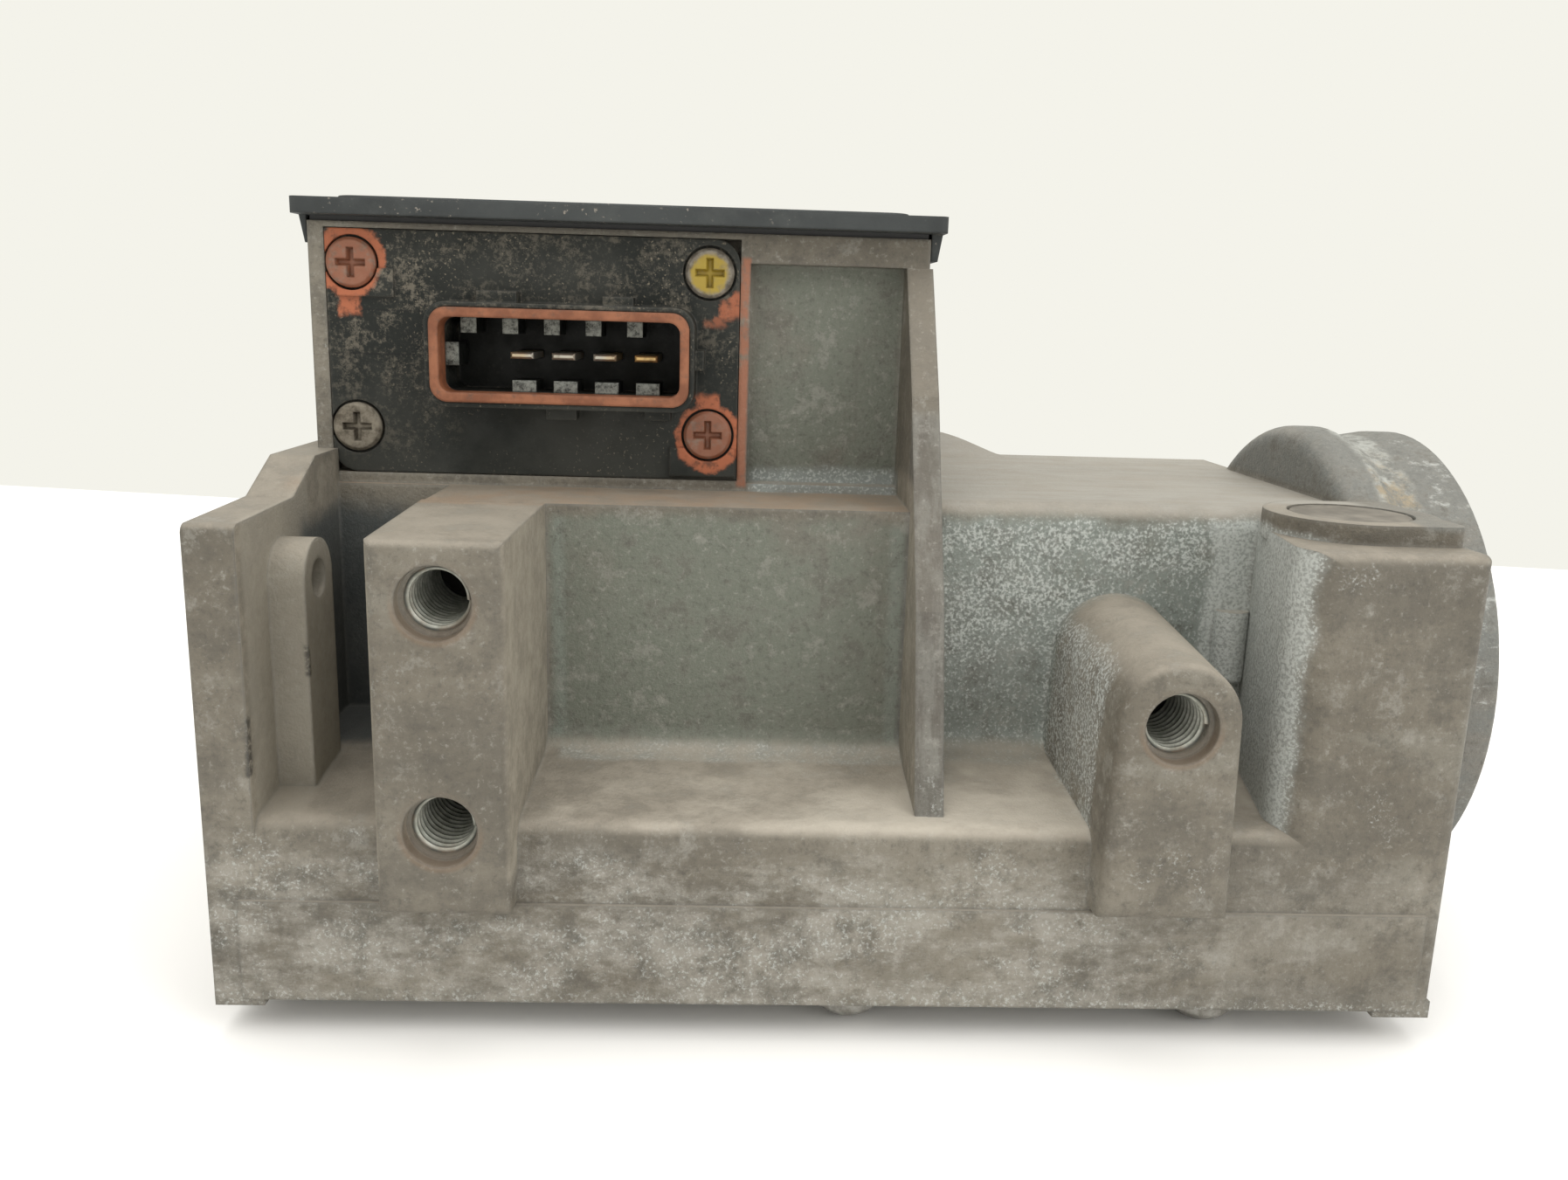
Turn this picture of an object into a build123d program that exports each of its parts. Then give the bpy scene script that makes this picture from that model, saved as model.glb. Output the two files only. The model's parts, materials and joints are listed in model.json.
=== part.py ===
"""Flap-type air flow meter: a die-cast duct with a swinging vane and an electronics box on top.

Frame, in millimetres: X along the air flow from the inlet flange to the hose spigot, Y away from
the bracket side, Z up. Z = 0 is the plane under the heads of the bottom cover's screws.
"""

import os
from math import cos, pi, radians, sin, tan

from build123d import *

os.makedirs("parts", exist_ok=True)

# --- Clearances ---------------------------------------------------------------------------
RUNNING_GAP = 0.05  # radial play of a shaft in its bush
PRESS_GAP = 0.02  # radial play drawn between pieces pressed together
FIT_GAP = 0.1  # play round a moulded or seated piece
COVER_GAP = 0.3  # play round the bottom cover in its recess
VANE_GAP = 0.5  # air gap between a vane's edge and the wall it seals against

# --- Casting: outline in plan -------------------------------------------------------------
FLANGE_X = -73.0  # outer face of the inlet flange
FLANGE_THICK = 5.3
FLANGE_BACK_Y = 39.5
RAIL_FRONT_Y = -45.5  # front of the bypass rail, tower and flange
BRACKET_Y = -50.0  # front faces of the tapped bar and boss
LEFT_WALL_Y = -26.0  # outer face of the duct's front wall, upstream
RIGHT_WALL_Y = -24.0  # the same, downstream of the fin
POCKET_WALL_Y = -13.0  # bolt pocket between flange and bar
UPSTREAM_BACK_Y = 31.0
DOWNSTREAM_BACK_Y = 34.0
SPLIT_X = 4.0  # where the upstream half meets the downstream half
COLLAR_X = 56.8  # rear face of the spigot's collar
WALL = 3.0

# --- Casting: heights ---------------------------------------------------------------------
FOOT_Z = 3.5
BASE_Z = 4.5
FLOOR_Z = 7.5  # land that the bottom cover seals against
BAND_Z = 16.0  # top of the proud band round the rail
BAND_PROUD = 0.5
RAIL_TOP_Z = 24.9
RAIL_BACK_Z = 27.2
SHELF_Z = 56.4  # ledge in front of the electronics box
ROOF_Z = 57.4  # roof of the downstream duct
CEILING_Z = 53.4  # ceiling of the upstream duct
BOX_FLOOR_Z = 57.0
BOX_TOP_Z = 88.0

# --- Inlet flange -------------------------------------------------------------------------
FLANGE_STEP_Z = 60.6
FLANGE_STEP_Y = (-28.5, -20.5)
INLET_Y = (-10.0, 28.0)
INLET_Z = (9.5, 52.0)
FOOT_LENGTH = 5.6
FLANGE_BOLT_R = 2.2
FLANGE_BOLT_Y = (-33.2, 33.2)
FLANGE_BOLT_Z = (10.6, 48.6)
POST_PROUD = 4.0
POST_WIDTH = 9.0

# --- Spigot -------------------------------------------------------------------------------
SPIGOT_Z = 34.1
SPIGOT_R = 31.0  # over the end bead
COLLAR_R = 31.5
SPIGOT_NECK_R = 30.4
SPIGOT_X = 73.0
SPIGOT_BORE_R = 27.8
BEAD_LENGTH = 3.4

# --- Bar, boss, fin and tower -------------------------------------------------------------
BAR_X = (-53.8, -40.2)
BAR_FOOT_Z = 16.2
BRACKET_EDGE_R = 1.2  # rounding of the bar's and boss's front edges
TAPPED_R = 3.4
TAPPED_MOUTH_R = 3.85
TAPPED_MOUTH_DEPTH = 1.8
BAR_HOLE_X = -47.1
BAR_HOLE_Z = (49.9, 25.9)
BAR_HOLE_DEPTH = (17.0, 15.5)
BOSS_X = 28.4
BOSS_CREST_Z = 45.1
BOSS_FOOT_Z = 17.1
BOSS_HALF = 6.4
BOSS_HOLE_Z = 38.4
BOSS_HOLE_DEPTH = 14.0
FIN_X = (2.6, 5.8)
FIN_EDGE = [(-22.5, 69.6), (-35.0, 46.6), (-42.5, 24.6)]  # its front edge, as (Y, Z)
TOWER_X = (40.9, 61.2)
TOWER_SIDE = [(44.6, -24.0), (43.0, -30.6)]  # its left side from wall to front, as (X, Y)
TOWER_TOP_Z = 56.1
TOWER_EDGE_R = 1.8
TOWER_DRAFT = 0.2  # degrees
TOWER_BACK_Y = -14.0
PAD_TOP_Z = 58.3
PAD_R = 9.4

# --- Idle bypass --------------------------------------------------------------------------
BYPASS_X = 52.4
BYPASS_Y = -30.6
CHANNEL_Y = -32.4
CHANNEL_Z = 18.0
CHANNEL_R = 3.6
SCREW_BORE_R = 5.0
SEAT_R = 3.0
SEAT_Z = 14.2
PLUG_R = 6.7
PLUG_THICK = 2.8

# --- Shaft, vanes and damping chamber -----------------------------------------------------
SHAFT_X = -18.9
SHAFT_Y = 13.0
SHAFT_R = 2.5
SHAFT_TOP_Z = BOX_TOP_Z - 8.0
SHAFT_FOOT_Z = 2.7
HUB_R = 5.5
HUB_ROOM_R = 6.5
CHAMBER_R = 34.0
CHAMBER_CEILING_Z = 54.4
MOUND_Z = 61.0  # crest of the low mound over the back of the chamber
MOUND_R = (36.0, 47.0)  # where the mound's shoulder starts and where it has run out
MOUND_FOOT_Y = 25.0
MOUND_CREST_Y = 31.5
CHAMBER_START = 14.0  # degrees from +X
CHAMBER_END = 117.0
DRUM_END = CHAMBER_END + 4
MEASURING_Y = -23.0  # inner face of the front wall at the vane
DIVIDER_Y = 13.7
VANE_THICK = 1.8
DAMPING_THICK = 1.6
DAMPING_ANGLE = 23.0
VANE_FOOT_Z = 8.0

# --- Electronics box ----------------------------------------------------------------------
BOX_X = (-70.2, 5.4)
BOX_FRONT_Y = -12.0
BOX_BACK_Y = 42.0
BOX_CORNER_R = 4.0
PANEL_X = -16.6  # left edge of the sunken panel beside the connector plate
PANEL_DEPTH = 3.0
PANEL_TOP_Z = BOX_TOP_Z - 3.5
BACK_RIB_X = (-62.0, -44.0)
LID_THICK = 1.9
LID_RAISE = 0.5
LID_OVERHANG_FRONT = 3.5
LID_OVERHANG_SIDE = 1.0
LID_OVERHANG_RIGHT = 1.6
LID_SKIRT = 3.2
SEAL_THICK = 0.6

# --- Connector ----------------------------------------------------------------------------
PLATE_X = (-68.2, -17.9)
PLATE_Z = (BOX_FLOOR_Z + 0.8, BOX_TOP_Z - 0.8)
PLATE_THICK = 3.0
SOCKET_X = -39.3
SOCKET_Z = (PLATE_Z[0] + PLATE_Z[1]) / 2 + 0.2
SOCKET_PROUD = 5.0
SOCKET_SIZE = (32.4, 12.6)
SEAL_SIZE = (31.0, 11.2)
CAVITY_SIZE = (28.8, 8.9)
SEAL_DEPTH = 3.4
PIN_PITCH = 5.05
PIN_WIDTH = 2.8
PIN_THICK = 0.8
PLATE_SCREW_X = (-65.1, -21.6)
PLATE_SCREW_Z = (PLATE_Z[0] + 5.6, PLATE_Z[1] - 4.0)
PLATE_SCREW_R = 1.5
PLATE_HEAD_R = 3.0

# --- Bottom cover -------------------------------------------------------------------------
SKIRT = 1.4
COVER_THICK = 2.4
GASKET_THICK = 0.3
COVER_SCREW_R = 2.0
COVER_HEAD_R = 3.9
COVER_HEAD_DOME = 1.9
WASHER_THICK = 0.9
EAR_R = 4.2
BEARING_SEAT_R = 4.0
BEARING_FLOOR_Z = 2.3

# --- Works in the electronics box ---------------------------------------------------------
BOARD_Z = SOCKET_Z - 2.7
WHEEL_Z = BOX_FLOOR_Z + 4.0
WHEEL_R = 15.4
WHEEL_TEETH = 48
TOOTH_DEPTH = 1.3
WHEEL_RIM = 1.6
WHEEL_TOP_Z = BOARD_Z - 2.0
BEARING_BOSS_R = 6.5
BEARING_BOSS_Z = (WHEEL_Z + WHEEL_TOP_Z) / 2 - 0.5
BUSH_R = 4.5
ARBOR_R = 4.5
SPRING_THICK = 0.35
SPRING_TURNS = 4
BOARD_THICK = 1.2
BOARD_X = (-47.0, 0.5)
BOARD_Y = (17.5, 37.5)
BOARD_POST_X = (-44.5, -2.2)
BOARD_POST_Y = 34.8
WIPER_REST = 35.0  # degrees from +X
WIPER_LENGTH = 16.5
CLIP_X = -47.0
SENSOR_X = -57.0
SENSOR_Y = 8.0
SENSOR_R = 4.0

# Worked out from the sizes above
flange_inner_x = FLANGE_X + FLANGE_THICK
chamber_outer_r = CHAMBER_R + WALL
duct_inside_y = (RIGHT_WALL_Y + WALL, DOWNSTREAM_BACK_Y - WALL)
tower_front_y = RAIL_FRONT_Y + (TOWER_TOP_Z - BASE_Z) * tan(radians(TOWER_DRAFT))
vane_length = SHAFT_Y - MEASURING_Y - VANE_GAP
measuring_top_z = CEILING_Z - VANE_GAP
damping_top_z = CHAMBER_CEILING_Z - VANE_GAP
cover_top_z = FLOOR_Z - GASKET_THICK
cover_foot_z = cover_top_z - COVER_THICK
board_top_z = BOARD_Z + BOARD_THICK
wheel_room = WHEEL_TOP_Z - WHEEL_Z - WHEEL_RIM
spring_width = wheel_room * 5 / 9
spring_foot_z = WHEEL_Z + WHEEL_RIM + (wheel_room - spring_width) * 19 / 24
pin_xs = [SOCKET_X + PIN_PITCH * step for step in (-1, 0, 1, 2)]

ear_spots = [
    (-58.0, UPSTREAM_BACK_Y + 1.5),
    (SHAFT_X - 17.0, SHAFT_Y + 23.6),
    (SHAFT_X + 29.5, SHAFT_Y + 23.0),
    (48.0, DOWNSTREAM_BACK_Y + 1.5),
]
rail_spots = [(-61.0, -30.5), (-3.8, RAIL_FRONT_Y + 6.3), (37.3, RAIL_FRONT_Y + 6.3)]
cover_screw_spots = ear_spots + rail_spots


def span_box(x, y, z, mode=Mode.ADD):
    """A box between two corners, in the current part."""
    with Locations(((x[0] + x[1]) / 2, (y[0] + y[1]) / 2, (z[0] + z[1]) / 2)):
        Box(x[1] - x[0], y[1] - y[0], z[1] - z[0], mode=mode)


def post(spot, radius, z, mode=Mode.ADD):
    """An upright cylinder between two heights, in the current part."""
    with Locations((spot[0], spot[1], (z[0] + z[1]) / 2)):
        Cylinder(radius, z[1] - z[0], mode=mode)


def span_rectangle(x, y, mode=Mode.ADD):
    """A rectangle between two corners, in the current sketch."""
    with Locations(((x[0] + x[1]) / 2, (y[0] + y[1]) / 2)):
        Rectangle(x[1] - x[0], y[1] - y[0], mode=mode)


def rounded_bar(size, radius, mode=Mode.ADD):
    """A round-cornered rectangle centred in the current sketch."""
    RectangleRounded(size[0], size[1], radius, mode=mode)


def sector(radius, start, end, mode=Mode.ADD):
    """A pie slice about the shaft, in the current sketch."""
    middle = (start + end) / 2
    tips = [
        (SHAFT_X + radius * cos(radians(a)), SHAFT_Y + radius * sin(radians(a)))
        for a in (start, middle, end)
    ]
    with BuildLine() as slice_outline:
        Line((SHAFT_X, SHAFT_Y), tips[0])
        ThreePointArc(*tips)
        Line(tips[2], (SHAFT_X, SHAFT_Y))
    make_face(slice_outline.edges(), mode=mode)


def base_outline(margin, ear_radius):
    """Plan of the casting's foot drawn in by margin, with the screw ears at their own radius."""
    front = RAIL_FRONT_Y + margin
    span_rectangle((flange_inner_x + margin, SPLIT_X), (front, UPSTREAM_BACK_Y - margin))
    span_rectangle((SPLIT_X, COLLAR_X - margin), (front, DOWNSTREAM_BACK_Y - margin))
    sector(chamber_outer_r - margin, 0, DRUM_END - 1.6 * margin)
    if ear_radius:
        with Locations(*ear_spots):
            Circle(ear_radius)


def rail_section(wall_y):
    """Section of the bypass rail up to the wall behind it, with its rounded top and root."""
    deep = wall_y + 2 * WALL
    Polygon(
        (RAIL_FRONT_Y, BASE_Z),
        (RAIL_FRONT_Y, RAIL_TOP_Z),
        (wall_y, RAIL_BACK_Z),
        (wall_y, RAIL_BACK_Z + 2 * WALL),
        (deep, RAIL_BACK_Z + 2 * WALL),
        (deep, BASE_Z),
        align=None,
    )


def tombstone(half, grow, crest, foot):
    """Round-topped bracket outline, centred on the current origin's X and wider at its foot."""
    shoulder = crest - half
    with BuildLine() as outline:
        Polyline((-half, shoulder), (-half - grow, foot), (half + grow, foot), (half, shoulder))
        ThreePointArc((half, shoulder), (0, crest), (-half, shoulder))
    make_face(outline.edges())


def tapped_hole(x, z, full_depth):
    """A blind tapped hole with its turned mouth, entering from the bracket faces."""
    for radius, depth in ((TAPPED_R, full_depth), (TAPPED_MOUTH_R, TAPPED_MOUTH_DEPTH)):
        with Locations((x, BRACKET_Y + depth / 2, z)):
            Cylinder(radius, depth, rotation=(90, 0, 0), mode=Mode.SUBTRACT)


# --- Mound of the casting, over the back of the damping chamber ---------------------------
with BuildPart() as chamber_mound:
    with BuildSketch(Plane.XY.offset(ROOF_Z - 1)):
        span_rectangle((BOX_X[1] - 1, SHAFT_X + MOUND_R[1]), (MOUND_FOOT_Y, DOWNSTREAM_BACK_Y))
        sector(chamber_outer_r, 20, 60)
    extrude(amount=MOUND_Z - ROOF_Z + 1)

    # Round shoulder about the shaft
    with BuildSketch(Plane.XZ.offset(-SHAFT_Y)):
        with BuildLine():
            Spline(
                (SHAFT_X + MOUND_R[0], MOUND_Z),
                (SHAFT_X + MOUND_R[1], ROOF_Z),
                tangents=((1, 0), (1, 0)),
            )
            Polyline(
                (SHAFT_X + MOUND_R[1], ROOF_Z),
                (SHAFT_X + MOUND_R[1], ROOF_Z - 1),
                (SHAFT_X, ROOF_Z - 1),
                (SHAFT_X, MOUND_Z),
                (SHAFT_X + MOUND_R[0], MOUND_Z),
            )
        make_face()
    revolve(axis=Axis((SHAFT_X, SHAFT_Y, 0), (0, 0, 1)), mode=Mode.INTERSECT)

    # Ramp that starts it softly from the roof, clear of the electronics box
    with BuildSketch(Plane.YZ.offset(BOX_X[1] - 1)):
        Polygon(
            (0, ROOF_Z),
            (MOUND_FOOT_Y, ROOF_Z),
            (MOUND_CREST_Y, MOUND_Z),
            (MOUND_CREST_Y, MOUND_Z + 1),
            (0, MOUND_Z + 1),
            align=None,
        )
    extrude(amount=MOUND_R[1], mode=Mode.SUBTRACT)
    span_box((BOX_X[1] - 2, BOX_X[1] - 0.5), (0, BOX_BACK_Y + 9), (ROOF_Z - 1, MOUND_Z), Mode.SUBTRACT)

# --- Main casting -------------------------------------------------------------------------
with BuildPart() as main_housing:
    # Foot of the casting, all round
    with BuildSketch(Plane.XY.offset(BASE_Z)):
        base_outline(0, EAR_R)
    extrude(amount=BAND_Z - BASE_Z)

    # Bypass rail along the front, upstream and downstream of the fin
    with BuildSketch(Plane.YZ.offset(flange_inner_x)) as rail_left:
        rail_section(LEFT_WALL_Y)
        fillet(rail_left.vertices().sort_by_distance((RAIL_FRONT_Y, RAIL_TOP_Z))[0], 2.5)
        fillet(rail_left.vertices().sort_by_distance((LEFT_WALL_Y, RAIL_BACK_Z))[0], 3)
    extrude(amount=SPLIT_X - flange_inner_x)
    with BuildSketch(Plane.YZ.offset(SPLIT_X)) as rail_right:
        rail_section(RIGHT_WALL_Y)
        fillet(rail_right.vertices().sort_by_distance((RAIL_FRONT_Y, RAIL_TOP_Z))[0], 2.5)
        fillet(rail_right.vertices().sort_by_distance((RIGHT_WALL_Y, RAIL_BACK_Z))[0], 3)
    extrude(amount=COLLAR_X - SPLIT_X)

    # Duct, upstream and downstream, with rounded long edges on the roof
    span_box((flange_inner_x, SPLIT_X), (LEFT_WALL_Y, UPSTREAM_BACK_Y), (BASE_Z, SHELF_Z))
    with BuildSketch(Plane.YZ.offset(SPLIT_X)) as duct_section:
        span_rectangle((RIGHT_WALL_Y, DOWNSTREAM_BACK_Y), (BASE_Z, ROOF_Z))
        fillet(duct_section.vertices().group_by(Axis.Y)[-1], 3.0)
    extrude(amount=COLLAR_X - SPLIT_X + 1)

    # Bolt pocket between the flange and the bar
    span_box(
        (flange_inner_x, BAR_X[0]),
        (LEFT_WALL_Y - WALL, POCKET_WALL_Y),
        (RAIL_BACK_Z, SHELF_Z),
        Mode.SUBTRACT,
    )

    # Electronics box with a sunken panel beside the connector plate
    with BuildSketch(Plane.XY.offset(SHELF_Z - 1)) as box_plan:
        span_rectangle(BOX_X, (BOX_FRONT_Y, BOX_BACK_Y))
        fillet(box_plan.vertices().group_by(Axis.Y)[-1], BOX_CORNER_R)
    extrude(amount=BOX_TOP_Z - SHELF_Z + 1)
    span_box(
        (PANEL_X, BOX_X[1]),
        (BOX_FRONT_Y, BOX_FRONT_Y + PANEL_DEPTH),
        (ROOF_Z, PANEL_TOP_Z),
        Mode.SUBTRACT,
    )
    with BuildSketch(Plane.XY.offset(BOX_FLOOR_Z)) as box_inside:
        span_rectangle(
            (BOX_X[0] + WALL, BOX_X[1] - WALL),
            (BOX_FRONT_Y + PLATE_THICK + WALL, BOX_BACK_Y - WALL),
        )
        fillet(box_inside.vertices(), 2)
    extrude(amount=BOX_TOP_Z - BOX_FLOOR_Z, mode=Mode.SUBTRACT)

    # Ribs that carry the overhanging back of the box down to the duct
    for rib_x in BACK_RIB_X:
        with BuildSketch(Plane.YZ.offset(rib_x - WALL / 2)):
            Polygon(
                (UPSTREAM_BACK_Y - 1, SHELF_Z),
                (BOX_BACK_Y, SHELF_Z),
                (UPSTREAM_BACK_Y - 1, BAND_Z + 4),
                align=None,
            )
        extrude(amount=WALL)

    # Damping chamber: a round drum about the shaft, with its mound
    with BuildSketch(Plane.XZ.offset(-SHAFT_Y)) as drum_section:
        span_rectangle((SHAFT_X, SHAFT_X + chamber_outer_r), (BASE_Z, ROOF_Z))
        drum_rim = (SHAFT_X + chamber_outer_r, ROOF_Z)
        fillet(drum_section.vertices().sort_by_distance(drum_rim)[0], 2.4)
    revolve(axis=Axis((SHAFT_X, SHAFT_Y, 0), (0, 0, 1)), revolution_arc=DRUM_END)
    add(chamber_mound.part)

    # Inlet flange, stepped up under the electronics box, with its feet
    with BuildSketch(Plane.YZ.offset(FLANGE_X)) as flange_plan:
        Polygon(
            (RAIL_FRONT_Y, FOOT_Z),
            (RAIL_FRONT_Y, SHELF_Z),
            (FLANGE_STEP_Y[0], SHELF_Z + 0.4),
            (FLANGE_STEP_Y[1], FLANGE_STEP_Z),
            (FLANGE_BACK_Y, FLANGE_STEP_Z),
            (FLANGE_BACK_Y, FOOT_Z),
            align=None,
        )
        fillet(flange_plan.vertices().sort_by_distance((FLANGE_BACK_Y, FLANGE_STEP_Z))[0], 6)
        fillet(flange_plan.vertices().sort_by_distance((RAIL_FRONT_Y, SHELF_Z))[0], 1)
    extrude(amount=FLANGE_THICK)

    # Bolt posts on the flange's inner face
    for post_y in FLANGE_BOLT_Y:
        with BuildSketch(Plane.YZ.offset(flange_inner_x - 0.5)):
            with Locations((post_y, (FLANGE_BOLT_Z[1] + BASE_Z) / 2)):
                Rectangle(POST_WIDTH, FLANGE_BOLT_Z[1] - BASE_Z)
            with Locations((post_y, FLANGE_BOLT_Z[1])):
                Circle(POST_WIDTH / 2)
        extrude(amount=POST_PROUD + 0.5)

    # Two-hole bar, drafted towards its front face
    with BuildSketch(Plane.XZ.offset(-LEFT_WALL_Y - 1)):
        span_rectangle((BAR_X[0] - 0.4, BAR_X[1] + 0.4), (BAR_FOOT_Z, SHELF_Z))
    extrude(amount=LEFT_WALL_Y + 1 - BRACKET_Y, taper=0.9)
    span_box(BAR_X, (LEFT_WALL_Y, POCKET_WALL_Y), (BASE_Z, SHELF_Z))

    # One-hole boss, a round-topped ridge that grows towards the wall
    with BuildSketch(Plane.XZ.offset(-RIGHT_WALL_Y - 1).shift_origin((BOSS_X, RIGHT_WALL_Y + 1, 0))):
        tombstone(BOSS_HALF + 0.9, 0.9, BOSS_CREST_Z + 1.8, BOSS_FOOT_Z)
    with BuildSketch(Plane.XZ.offset(-BRACKET_Y).shift_origin((BOSS_X, BRACKET_Y, 0))):
        tombstone(BOSS_HALF, 0.5, BOSS_CREST_Z, BOSS_FOOT_Z)
    loft()
    bracket_faces = main_housing.faces().filter_by(Axis.Y).group_by(Axis.Y)[0]
    fillet(bracket_faces.edges(), BRACKET_EDGE_R)

    # Fin between the electronics box and the rail
    with BuildSketch(Plane.YZ.offset(FIN_X[0])):
        Polygon(
            (BOX_FRONT_Y, PANEL_TOP_Z),
            *FIN_EDGE,
            (RIGHT_WALL_Y + WALL, FIN_EDGE[-1][1]),
            (RIGHT_WALL_Y + WALL, SHELF_Z - WALL),
            (BOX_FRONT_Y + PANEL_DEPTH + 1, SHELF_Z),
            (BOX_FRONT_Y + PANEL_DEPTH + 1, PANEL_TOP_Z),
            align=None,
        )
    extrude(amount=FIN_X[1] - FIN_X[0])

    # Tower over the idle bypass screw, with the machined pad on its top
    with BuildSketch(Plane.XY.offset(BASE_Z)) as tower_plan:
        Polygon(
            (TOWER_X[0], RAIL_FRONT_Y),
            (TOWER_X[1], RAIL_FRONT_Y),
            (TOWER_X[1], TOWER_BACK_Y),
            (TOWER_SIDE[0][0], TOWER_BACK_Y),
            *TOWER_SIDE,
            align=None,
        )
        fillet(tower_plan.vertices().sort_by_distance((TOWER_X[0], RAIL_FRONT_Y))[0], 4.5)
        fillet(tower_plan.vertices().sort_by_distance((TOWER_X[1], RAIL_FRONT_Y))[0], 1)
    extrude(amount=TOWER_TOP_Z - BASE_Z, taper=TOWER_DRAFT)
    with BuildSketch(Plane.YZ.offset(TOWER_X[0] - 1)):
        round_centre = (tower_front_y + TOWER_EDGE_R, TOWER_TOP_Z - TOWER_EDGE_R)
        span_rectangle(
            (tower_front_y - 0.5, round_centre[0]),
            (round_centre[1], TOWER_TOP_Z + 0.5),
        )
        with Locations(round_centre):
            Circle(TOWER_EDGE_R, mode=Mode.SUBTRACT)
    extrude(amount=TOWER_X[1] - TOWER_X[0] + 2, mode=Mode.SUBTRACT)
    with BuildSketch(Plane.XY.offset(TOWER_TOP_Z - 1)) as pad_plan:
        with Locations((BYPASS_X, BYPASS_Y)):
            Circle(PAD_R)
        span_rectangle((BYPASS_X, TOWER_X[1]), (BYPASS_Y - PAD_R, BYPASS_Y + PAD_R))
        fillet(pad_plan.vertices().sort_by_distance((TOWER_X[1], RAIL_FRONT_Y))[0], 1.5)
    extrude(amount=PAD_TOP_Z - TOWER_TOP_Z + 1)

    # Round collar and hose spigot
    with BuildSketch(Plane.XZ) as spigot_section:
        Polygon(
            (COLLAR_X, SPIGOT_Z),
            (COLLAR_X, SPIGOT_Z + COLLAR_R),
            (COLLAR_X + 5.2, SPIGOT_Z + COLLAR_R),
            (COLLAR_X + 7.4, SPIGOT_Z + SPIGOT_NECK_R),
            (COLLAR_X + 9.2, SPIGOT_Z + SPIGOT_NECK_R),
            (SPIGOT_X - BEAD_LENGTH, SPIGOT_Z + SPIGOT_R),
            (SPIGOT_X - 0.4, SPIGOT_Z + SPIGOT_R),
            (SPIGOT_X, SPIGOT_Z + SPIGOT_R - 0.4),
            (SPIGOT_X, SPIGOT_Z),
            align=None,
        )
        collar_corners = spigot_section.vertices().sort_by_distance((COLLAR_X, SPIGOT_Z + COLLAR_R))
        fillet(collar_corners[0], 2.6)
        fillet(collar_corners[1], 1.5)
    revolve(axis=Axis((0, 0, SPIGOT_Z), (1, 0, 0)))

    # Front feet and the proud band along the foot of the rail
    span_box((TOWER_X[1] - 6.4, TOWER_X[1]), (RAIL_FRONT_Y, RAIL_FRONT_Y + 9), (FOOT_Z, BASE_Z + 1))
    span_box(
        (FLANGE_X + 3.2, TOWER_X[1] - 2.0),
        (RAIL_FRONT_Y - BAND_PROUD, RAIL_FRONT_Y + 2),
        (BASE_Z, BAND_Z),
    )

    # Upright rib in the corner between wall and tower
    with Locations((TOWER_SIDE[0][0] - 2.0, RIGHT_WALL_Y, 40.8)):
        Cylinder(2.1, 8.6)

    # Recess for the bottom cover
    with BuildSketch(Plane.XY.offset(BASE_Z - 0.5)):
        base_outline(SKIRT, EAR_R + COVER_GAP)
    extrude(amount=FLOOR_Z - BASE_Z + 0.5, mode=Mode.SUBTRACT)

    # Air way: inlet, plenum, measuring duct, outlet
    span_box((FLANGE_X, flange_inner_x), INLET_Y, INLET_Z, Mode.SUBTRACT)
    span_box((flange_inner_x, -30.0), INLET_Y, (FLOOR_Z, CEILING_Z), Mode.SUBTRACT)
    span_box(
        (BAR_X[0] + WALL, SHAFT_X + chamber_outer_r),
        (MEASURING_Y, DIVIDER_Y),
        (FLOOR_Z, CEILING_Z),
        Mode.SUBTRACT,
    )
    with BuildSketch(Plane.XY.offset(FLOOR_Z)):
        span_rectangle((SPLIT_X + 4, COLLAR_X), duct_inside_y)
        with Locations((SHAFT_X, SHAFT_Y)):
            Circle(chamber_outer_r, mode=Mode.SUBTRACT)
    extrude(amount=ROOF_Z - WALL - FLOOR_Z, mode=Mode.SUBTRACT)
    with BuildSketch(Plane.YZ.offset(COLLAR_X + WALL)):
        with Locations((0, SPIGOT_Z)):
            Circle(SPIGOT_BORE_R)
    extrude(amount=SPIGOT_X - COLLAR_X - WALL, mode=Mode.SUBTRACT)
    with BuildSketch(Plane.YZ.offset(COLLAR_X)):
        with Locations((0, SPIGOT_Z)):
            Circle(SPIGOT_BORE_R)
        span_rectangle(duct_inside_y, (FLOOR_Z, ROOF_Z - WALL), Mode.INTERSECT)
    extrude(amount=WALL, mode=Mode.SUBTRACT)

    # Damping chamber and the round room for the vane's hub
    with BuildSketch(Plane.XY.offset(FLOOR_Z)):
        sector(CHAMBER_R, CHAMBER_START, CHAMBER_END)
        with Locations((SHAFT_X, SHAFT_Y)):
            Circle(HUB_ROOM_R)
    extrude(amount=CHAMBER_CEILING_Z - FLOOR_Z, mode=Mode.SUBTRACT)

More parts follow.
